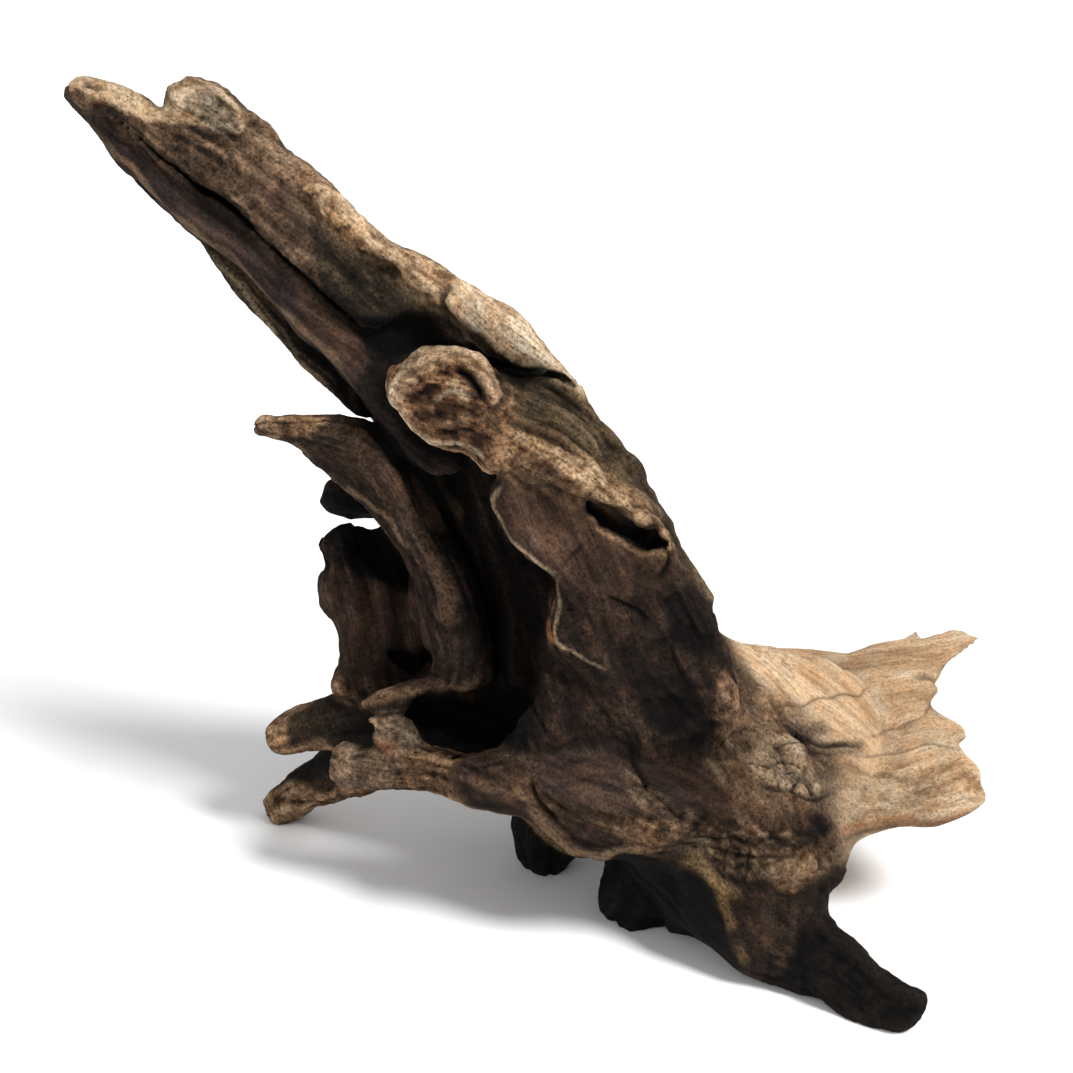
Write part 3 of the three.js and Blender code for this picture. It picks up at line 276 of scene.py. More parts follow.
# Sheets: outlines on the leaning face, across and up from its middle. Their depth is a plane: its height,
# and its rise across and up. The grain is its direction, the distance between ridges and their height.
SHEETS = [
    dict(name="spar_top", wood="granite", blend=3, plane=(11, 0, 0), half=(10, 0.035), rim=6,
         grain=(SPAR_GRAIN, 9, 0.7), outline=[(-150, 143), (-148, 147), (-141, 146), (-133, 144),
         (-125, 142), (-121, 140), (-119, 146), (-114, 150), (-108, 148), (-101, 146), (-95, 142),
         (-88, 135), (-80, 125), (-76, 121), (-68, 115), (-57, 104), (-44, 92), (-31, 84), (-18, 76),
         (-13, 64), (-22, 60), (-38, 60), (-49, 61), (-59, 69), (-68, 77), (-76, 86), (-84, 94), (-92, 101),
         (-101, 108), (-108, 113), (-114, 118), (-121, 124), (-128, 129), (-137, 134), (-145, 137)]),
    # the spar's lower lobe faces down, and its darker slate wood is painted shade
    dict(name="spar_low", wood="slate", blend=1.2, plane=(5, 0, 0), half=(9, 0.03), rim=6,
         grain=(SPAR_GRAIN, 12, 0.4), outline=[(-152, 142), (-145, 146), (-127, 140), (-113, 129),
         (-99, 119), (-82, 105), (-67, 87), (-57, 80), (-43, 68), (-25, 51), (-25, 22), (-38, 24),
         (-48, 35), (-57, 44), (-64, 53), (-69, 59), (-80, 70), (-97, 87), (-113, 100), (-127, 113),
         (-135, 120), (-143, 131)]),
    dict(name="flange", wood="moss", blend=2, plane=(-6, 0, 0), half=(2.7, 0), rim=2.2,
         outline=[(-135, 119), (-128, 111), (-117, 102), (-110, 96), (-107, 91), (-98, 79), (-89, 70),
         (-80, 61), (-70, 50), (-61, 40), (-52, 43), (-63, 61), (-79, 78), (-97, 94), (-113, 109),
         (-127, 120)]),
    dict(name="shoulder", wood="honey", blend=2, plane=(18, 0, 0), half=(6, 0), rim=5,
         grain=(SPAR_GRAIN, 10, 0.5), outline=[(-76, 111), (-71, 114), (-64, 111), (-59, 106), (-51, 99),
         (-43, 92), (-31, 85), (-24, 81), (-29, 75), (-31, 71), (-36, 75), (-43, 82), (-45, 87), (-53, 90),
         (-60, 91), (-66, 97), (-71, 104), (-74, 108)]),
    dict(name="shoulder_lobe", wood="honey", blend=2, plane=(20, 0, 0), half=(7, 0), rim=6,
         grain=(SPAR_GRAIN, 10, 0.4), outline=[(-31, 75), (-29, 80), (-24, 81), (-14, 77), (-7, 72),
         (3, 60), (15, 47), (6, 50), (-5, 53), (-12, 56), (-19, 61), (-26, 66), (-30, 71)]),
    dict(name="nodule", wood="gnarl", blend=3, plane=(32, 0, 0), half=(10, 0), rim=9, grain=(-20, 9, 0.7),
         outline=[(-48, 47), (-46, 53), (-40, 57), (-33, 60), (-25, 59), (-16, 56), (-10, 48), (-8, 37),
         (-10, 26), (-15, 20), (-22, 24), (-29, 27), (-38, 33), (-44, 40)]),
    dict(name="crown", wood="olive", blend=7, plane=(16, -0.2, 0.1), half=(12, 0), rim=18,
         grain=(-35, 11, 0.8), outline=[(-21, 53), (-12, 54), (1, 52), (14, 47), (22, 36), (32, 23),
         (41, 9), (51, -9), (57, -24), (34, -21), (8, -1), (-12, 28), (-18, 44)]),
    dict(name="ridge", wood="tan", blend=5, plane=(27, -0.15, 0.1), half=(6, 0), rim=8, outline=[(-18, 34),
         (-12, 39), (4, 31), (22, 18), (34, 10), (44, -3), (40, -7), (27, 5), (11, 12), (-5, 18),
         (-15, 23)]),
    dict(name="plate_a", wood="russet", blend=3, plane=(23, -0.12, 0.1), half=(5, 0), rim=6,
         grain=(TRUNK_GRAIN, 16, 0.5), outline=[(-10, 22), (-15, 14), (-13, 5), (-5, -4), (3, -12),
         (12, -18), (27, -20), (40, -17), (46, -11), (33, 7), (20, 15), (4, 24), (-5, 27)]),
    dict(name="plate_b", wood="umber", blend=4, plane=(21, -0.1, 0.2), half=(6, 0), rim=7,
         grain=(TRUNK_GRAIN, 14, 0.6), outline=[(6, -12), (5, -24), (5, -34), (11, -40), (17, -44),
         (19, -51), (28, -55), (47, -58), (66, -56), (64, -40), (55, -24), (46, -10), (27, -4), (11, -5)]),
    dict(name="throat", wood="umber", blend=8, plane=(-4, 0, 0.1), half=(18, 0), rim=20,
         grain=(TRUNK_GRAIN, 14, 0.8), outline=[(8, -21), (-1, -34), (-3, -47), (-9, -54), (-12, -65),
         (-9, -75), (8, -84), (54, -74), (66, -56), (54, -21), (27, -1)]),
    # the tongue and the back lie deep in the hollow, and their black wood is painted shade
    dict(name="tongue", wood="black", blend=5, plane=(-24, 0, 0.25), half=(7, 0), rim=8,
         grain=(-70, 13, 0.7), outline=[(-50, 45), (-39, 25), (-29, 12), (-20, -3), (-16, -18), (-17, -35),
         (-19, -52), (1, -55), (21, -35), (15, -1), (-5, 25), (-25, 45)]),
    dict(name="back", wood="black", blend=12, plane=(-44, 0, 0.3), half=(10, 0), rim=20, grain=(-60, 17, 1),
         outline=[(-44, 36), (-22, 39), (11, 19), (39, -8), (58, -39), (55, -70), (8, -85), (-30, -78),
         (-42, -56), (-39, -36), (-37, -15), (-40, 6), (-45, 22)]),
    dict(name="wall", wood="umber", blend=5, plane=(-38, 0, 0.1), half=(6, 0), rim=7, grain=(-80, 12, 0.6),
         outline=[(-59, 4), (-68, 3), (-73, -3), (-71, -10), (-73, -15), (-73, -22), (-68, -30), (-67, -42),
         (-70, -51), (-63, -57), (-46, -61), (-29, -56), (-29, -22), (-33, -8), (-42, -1), (-49, 3)]),
    dict(name="apron", wood="bark", blend=9, plane=(-24, -0.12, -0.25), half=(8, 0), rim=11,
         grain=(-30, 13, 0.8), outline=[(-26, -73), (-12, -71), (1, -65), (28, -59), (54, -51), (74, -51),
         (91, -64), (99, -81), (97, -99), (83, -106), (70, -113), (59, -118), (50, -110), (40, -104),
         (27, -103), (14, -103), (5, -98), (-6, -91), (-22, -85)]),
    dict(name="boss", wood="umber", blend=4, plane=(-16, -0.12, -0.25), half=(6, 0), rim=9,
         grain=(-25, 10, 0.6), outline=[(-3, -77), (3, -70), (21, -67), (37, -75), (57, -86), (73, -100),
         (53, -99), (27, -96), (10, -91)]),
    dict(name="buttress_face", wood="umber", blend=9, plane=(-1, 0, 0), half=(8, 0), rim=9,
         grain=(-50, 11, 0.6), outline=[(57, -103), (73, -91), (91, -91), (101, -103), (100, -112),
         (90, -120), (88, -130), (88, -138), (82, -144), (75, -142), (65, -136), (54, -127), (53, -117)]),
    dict(name="fan", wood="pale", blend=9, plane=(-101, 0, -0.95), half=(12, -0.07), rim=7,
         grain=(FAN_GRAIN, 15, 0.3), outline=[(49, -52), (57, -39), (66, -37), (79, -38), (93, -39),
         (108, -39), (116, -36), (126, -35), (132, -33), (133, -35), (145, -33), (154, -35), (153, -38),
         (143, -43), (137, -49), (135, -51), (137, -53), (134, -57), (139, -61), (144, -64), (145, -68),
         (143, -71), (144, -75), (148, -78), (150, -83), (149, -88), (142, -93), (133, -95), (124, -94),
         (115, -96), (107, -100), (101, -104), (86, -107), (70, -103), (54, -84)]),
    dict(name="chip", wood="ash", blend=1.5, plane=(-18, 0, 0), half=(3, 0), rim=2, outline=[(-55, -59),
         (-48, -58), (-40, -60), (-39, -67), (-45, -71), (-51, -70), (-54, -66), (-53, -62)]),
    dict(name="saddle", wood="pale", blend=12, plane=(-11, -0.5, -0.5), half=(6, 0), rim=12,
         outline=[(50, -40), (62, -37), (80, -38), (96, -42), (108, -52), (114, -66), (112, -80),
         (104, -90), (92, -96), (78, -90), (64, -78), (55, -60)]),
    # the gullet's black wood is painted shade
    dict(name="gullet", wood="black", blend=4, plane=(-22, 0, 0), half=(6, 0), rim=6, outline=[(-68, 52),
         (-60, 50), (-48, 47), (-36, 36), (-28, 16), (-32, 4), (-42, 16), (-51, 34), (-60, 44)]),
    dict(name="rib_web", wood="umber", blend=7, plane=(-26, 0, 0), half=(6, 0), rim=7, outline=[(-41, 2),
         (-34, -4), (-28, -18), (-26, -36), (-29, -50), (-38, -58), (-52, -58), (-58, -53), (-48, -49),
         (-36, -47), (-32, -40), (-38, -34), (-43, -20)]),
]

# Hollows worn into the wood, along a spine
HOLLOWS = [
    dict(name="main_hollow", blend=6, side=(0.4, 0.6, 0.3), rows=[(-28, 8, 152, 5, 5), (-16, 0, 128, 8, 8),
         (-6, -8, 104, 10, 10), (-6, -14, 82, 12, 10), (-14, -16, 70, 9, 8)]),
    dict(name="recess", blend=3, side=(0, -0.9, 0.45), rows=[(-54, 14, 195, 5, 3), (-44, 12, 196, 9, 6),
         (-36, 12, 196, 10, 7), (-27, 11, 194, 9, 6), (-18, 10, 191, 8, 3)]),
    dict(name="crack", blend=1.2, side=(0, -0.9, 0.45), rows=[(-31, 9, 193, 11, 2.6),
         (-12, 7.5, 189.5, 11, 2), (-5, 6.5, 187, 11, 1.7), (5, 2.3, 187.4, 5, 1.4), (12, 0, 185, 3.5, 1)]),
    dict(name="wall_hollow", blend=3, side=(0, -0.9, 0.45), rows=[(-57, 29, 113, 6, 6),
         (-50, 27, 108, 6, 8), (-44, 25, 105, 6, 6)]),
    dict(name="channel", blend=3, side=(0, -0.9, 0.45), rows=[(-44, 6, 154, 6, 1.5), (-38, 2, 146, 7, 2.5),
         (-24, -4, 124, 9, 3.5), (-16, -10, 104, 10, 4), (-14, -14, 84, 9, 4)]),
    dict(name="cave", blend=6, side=(0, -0.9, 0.45), rows=[(-38, -2, 66, 10, 6), (-24, -4, 66, 14, 9),
         (-9, -6, 64, 12, 9)]),
]

# Slots and dents worn into the face, by their outline
DENTS = [
    dict(name="slot", blend=2, plane=(30, -0.15, 0.1), half=(8, 0), rim=3, outline=[(13, 12), (20, 11),
         (27, 9), (33, 6), (38, 2), (42, -3), (36, -3), (30, 0), (24, 2), (20, 5), (17, 8)]),
    dict(name="wall_hole", blend=2, plane=(-35, 0, 0), half=(8, 0), rim=3, outline=[(-52, -39), (-44, -40),
         (-38, -40), (-33, -38), (-34, -43), (-39, -46), (-47, -44)]),
    dict(name="dent_high", blend=5, plane=(26, 0, 0), half=(9, 0), rim=8, outline=[(43, -25), (49, -20),
         (55, -27), (53, -36), (48, -35)]),
    dict(name="dent_mid", blend=5, plane=(17, 0, 0), half=(9, 0), rim=8, outline=[(35, -54), (42, -51),
         (49, -54), (53, -62), (40, -64)]),
    dict(name="dent_low", blend=5, plane=(8, 0, 0), half=(9, 0), rim=8, outline=[(50, -69), (57, -64),
         (64, -68), (67, -74), (55, -75)]),
]

# Slow waves that bend every form a little: wave vector, phase and sway
WAVES = [
    ((0.21, 0.05, 0.02), 0.3, (0.9, 0.2, 0.3)),
    ((-0.04, 0.17, 0.07), 1.7, (-0.3, 0.8, 0.4)),
    ((0.06, -0.05, 0.19), 4.1, (0.3, -0.4, 0.9)),
    ((0.11, 0.12, -0.1), 2.2, (-0.5, 0.5, 0.6)),
]

# Cracks: a line in the photograph's pixels, half its width and its depth in mm, and its depth on the face
CRACKS = [
    # the long split between the spar's two lobes
    dict(pixels=[(110, 118), (140, 136), (162, 153), (185, 171), (200, 187), (224, 203), (253, 224),
         (278, 245), (303, 271), (326, 300), (354, 324), (386, 349)], half=0.6, depth=14, plane=16),
    # the gap that shows light between the knob and the wall
    dict(pixels=[(352, 520), (368, 518), (384, 520), (405, 529)], half=1.3, depth=30, plane=-34),
]

# Patches: an outline in the photograph's pixels that takes another wood, its share and the forms it is on
PATCHES = [
    # the spar: grey lichen, pale top of the prong as painted light, dark lower face as painted shade, reddish
    # wood
    dict(wood="cream", share=0.95, on="spar_top", pixels=[(160, 72), (200, 68), (246, 110), (236, 130),
         (172, 112)]),
    dict(wood="cream", share=0.95, on="spar_top", pixels=[(62, 76), (110, 82), (164, 104), (154, 120),
         (98, 106)]),
    dict(wood="grey", share=0.8, on="spar_top", pixels=[(183, 92), (212, 90), (240, 112), (236, 136),
         (206, 128)]),
    dict(wood="russet", share=0.6, on="spar_top", pixels=[(250, 168), (300, 200), (296, 250), (262, 232)]),
    dict(wood="moss", share=0.9, on="spar_top spar_core", pixels=[(306, 212), (330, 204), (360, 244),
         (405, 285), (445, 322), (400, 348), (356, 330), (322, 296)]),
    dict(wood="russet", share=0.6, on="spar_low", pixels=[(98, 112), (150, 128), (190, 168), (160, 172)]),
    dict(wood="russet", share=0.8, on="spar_low", pixels=[(296, 306), (340, 300), (378, 352), (360, 376)]),
    dict(wood="black", share=0.8, on="spar_low spar_core flange", pixels=[(340, 318), (400, 330),
         (400, 400), (440, 450), (400, 470), (350, 400), (372, 362)]),
    # the shoulder and its lobe, painted lighter on top where the light falls on them
    dict(wood="cream", share=0.8, on="shoulder", pixels=[(310, 186), (340, 190), (380, 216), (430, 268),
         (446, 290), (430, 296), (390, 262), (340, 222)]),
    dict(wood="cream", share=0.95, on="shoulder_lobe shoulder crown spar_top spar_core trunk",
         pixels=[(440, 294), (462, 282), (512, 300), (552, 332), (584, 370), (592, 392), (556, 376),
         (500, 350), (456, 330)]),
    # painted shade in the gullet under the spar's end
    dict(wood="dark", share=0.7, on="spar_low spar_core gullet tongue inner_ridge", pixels=[(400, 410),
         (440, 420), (480, 470), (476, 492), (440, 484), (410, 450)]),
    # the nodule: painted light along its top and left, painted shade in a black fold, and brown below
    dict(wood="cream", share=0.55, on="nodule", pixels=[(384, 392), (392, 372), (410, 358), (432, 348),
         (458, 346), (484, 360), (504, 384), (506, 410), (490, 402), (476, 378), (456, 362), (434, 366),
         (412, 378), (404, 394), (412, 416), (404, 420)]),
    dict(wood="black", share=0.6, on="nodule", pixels=[(408, 392), (420, 384), (434, 378), (440, 384),
         (428, 390), (416, 398)]),
    dict(wood="black", share=0.9, on="nodule", pixels=[(452, 364), (464, 368), (478, 380), (490, 398),
         (478, 394), (462, 378)]),
    dict(wood="honey", share=0.6, on="nodule", pixels=[(434, 386), (450, 378), (462, 390), (476, 400),
         (460, 404), (440, 400)]),
    dict(wood="umber", share=0.5, on="nodule", pixels=[(416, 410), (440, 402), (452, 414), (440, 426),
         (424, 424)]),
    dict(wood="umber", share=0.4, on="nodule", pixels=[(452, 430), (476, 424), (488, 440), (480, 450),
         (462, 446)]),
    # painted shade: black in the recess and crack between the shoulder and the nodule
    dict(wood="black", share=0.95, on="spar_core trunk spar_top spar_low crown", pixels=[(356, 318),
         (400, 314), (440, 322), (470, 342), (520, 362), (578, 384), (574, 390), (520, 376), (470, 362),
         (430, 350), (396, 356), (374, 364)]),
    # pale granular wood at the bright end of the ridge
    dict(wood="honey", share=0.8, on="ridge crown", pixels=[(488, 424), (520, 428), (566, 456), (610, 476),
         (600, 488), (548, 470), (500, 450)]),
    # painted shade: black and dark in and round the shallow dents of the trunk and the apron
    dict(wood="black", share=0.8, pixels=[(664, 606), (690, 592), (712, 606), (716, 640), (690, 652),
         (668, 636)]),
    dict(wood="black", share=0.7, pixels=[(656, 676), (690, 674), (694, 692), (662, 694)]),
    dict(wood="black", share=0.8, pixels=[(646, 700), (690, 696), (706, 716), (680, 734), (650, 726)]),
    dict(wood="black", share=0.7, pixels=[(684, 728), (730, 724), (756, 744), (744, 764), (700, 762)]),
    dict(wood="dark", share=0.7, pixels=[(628, 780), (680, 776), (720, 800), (700, 818), (650, 806)]),
    dict(wood="dark", share=0.35, pixels=[(640, 560), (680, 570), (730, 640), (752, 700), (700, 740),
         (630, 700)]),
    # the apron: a reddish band, and knobbly pale wood at its end
    dict(wood="russet", share=0.7, pixels=[(648, 746), (700, 772), (776, 836), (756, 848), (700, 812),
         (652, 776)]),
    dict(wood="dark", share=0.45, on="boss apron trunk", pixels=[(536, 752), (600, 748), (650, 790),
         (640, 820), (580, 812), (548, 790)]),
    dict(wood="slate", share=0.9, on="boss apron cross_root trunk throat", pixels=[(530, 770), (556, 748),
         (610, 742), (652, 758), (696, 802), (650, 814), (590, 812), (545, 798)]),
    dict(wood="russet", share=0.5, on="apron cross_root", pixels=[(440, 776), (520, 770), (560, 830),
         (600, 850), (560, 850), (510, 816)]),
    # painted shade: black on the underside and in a small hole, and dark on the shaded side of the buttress
    dict(wood="black", share=0.95, pixels=[(598, 846), (640, 852), (690, 872), (714, 896), (726, 925),
         (736, 970), (650, 950), (596, 900)]),
    dict(wood="black", share=0.9, pixels=[(440, 800), (516, 816), (560, 840), (606, 856), (600, 900),
         (500, 880)]),
    dict(wood="dark", share=0.6, pixels=[(752, 886), (838, 862), (845, 905), (800, 960), (764, 980)]),
    dict(wood="black", share=0.9, pixels=[(800, 855), (812, 855), (812, 864), (801, 864)]),
    # the fan: painted light on its lower half, stains round the knot, and the browner root of the fan
    dict(wood="cream", share=0.55, on="fan saddle", pixels=[(820, 790), (900, 764), (970, 770), (986, 790),
         (960, 814), (900, 814), (840, 834), (806, 836)]),
    dict(wood="umber", share=0.55, pixels=[(790, 724), (824, 724), (830, 734), (800, 738)]),
    dict(wood="umber", share=0.5, pixels=[(834, 744), (856, 743), (858, 756), (838, 760)]),
    dict(wood="hazel", share=0.7, pixels=[(728, 660), (764, 700), (790, 740), (820, 790), (790, 838),
         (740, 820), (716, 760), (716, 690)]),
    # flaked and knobbly wood
    dict(wood="crag", share=0.85, pixels=[(690, 828), (748, 828), (800, 834), (838, 846), (816, 874),
         (770, 882), (730, 880), (700, 858)]),
    dict(wood="crag", share=0.5, pixels=[(620, 766), (690, 806), (720, 830), (690, 846), (640, 816)]),
    dict(wood="flake", share=0.9, pixels=[(756, 746), (790, 738), (808, 762), (818, 788), (780, 792),
         (758, 776)]),
    dict(wood="tan", share=0.8, pixels=[(778, 868), (804, 862), (812, 876), (792, 890), (778, 886)]),
    dict(wood="umber", share=0.85, pixels=[(744, 896), (780, 894), (812, 880), (800, 920), (790, 966),
         (760, 972), (748, 930)]),
    # painted shade: black in the slot
    dict(wood="black", share=0.9, on="crown ridge plate_a", pixels=[(586, 504), (612, 512), (640, 522),
         (664, 544), (648, 546), (620, 534), (598, 520)]),
    # the rib: pale tip, painted shade on its side beside the hollow, reddish middle
    dict(wood="tan", share=0.9, on="rib", pixels=[(246, 410), (312, 410), (330, 428), (292, 440),
         (256, 436)]),
    dict(wood="black", share=0.8, on="rib inner_ridge rib_web", pixels=[(340, 384), (384, 400), (430, 470),
         (470, 560), (484, 640), (456, 690), (458, 600), (420, 510)]),
    dict(wood="russet", share=0.7, on="rib", pixels=[(370, 462), (420, 480), (450, 520), (432, 530),
         (390, 500)]),
    dict(wood="umber", share=0.6, on="rib rib_web", pixels=[(432, 590), (452, 600), (462, 650), (444, 700),
         (400, 712), (420, 660)]),
    # the wall: black above, painted shade; brown below and tan at its foot, painted light
    dict(wood="black", share=0.95, on="wall rib_web knob", pixels=[(344, 508), (402, 512), (424, 548),
         (404, 580), (352, 574), (340, 540)]),
    dict(wood="russet", share=0.8, on="wall rib_web", pixels=[(318, 574), (400, 582), (428, 604),
         (438, 650), (420, 694), (346, 700), (326, 640)]),
    dict(wood="tan", share=0.6, on="wall rib_web rib", pixels=[(330, 660), (352, 676), (420, 690),
         (410, 712), (340, 706)]),
    # the hollow, painted black as shade
    dict(wood="black", share=0.7, on="tongue back throat trunk inner_ridge rib_web base",
         pixels=[(446, 470), (484, 522), (548, 572), (556, 600), (552, 650), (536, 690), (520, 740),
         (430, 750), (440, 690), (470, 640), (476, 580), (440, 510)]),
    dict(wood="black", share=0.95, on="tongue back throat trunk inner_ridge rib_web base rib toe_upper",
         pixels=[(374, 704), (400, 697), (440, 692), (500, 700), (526, 736), (500, 758), (440, 752),
         (400, 746)]),
    # the toes and the cross root: painted shade on the toes' inner sides, a raw orange break, and a painted
    # highlight on the cross root
    dict(wood="black", share=0.9, on="toe_upper toe_lower base", pixels=[(296, 716), (344, 690), (392, 700),
         (392, 740), (345, 756), (326, 740), (290, 752)]),
    dict(wood="dark", share=0.9, on="toe_lower toe_upper", pixels=[(282, 762), (330, 752), (334, 786),
         (300, 790)]),
    dict(wood="rust", share=0.55, on="cross_root chip", pixels=[(376, 736), (394, 740), (396, 754),
         (382, 756)]),
    dict(wood="honey", share=0.5, on="cross_root", pixels=[(430, 752), (466, 756), (470, 772), (436, 770)]),
    dict(wood="ash", share=0.8, on="cross_root", pixels=[(322, 726), (384, 728), (394, 786), (340, 792),
         (320, 770)]),
    dict(wood="honey", share=0.5, on="toe_lower", pixels=[(250, 790), (290, 780), (320, 800), (300, 824),
         (258, 816)]),
]

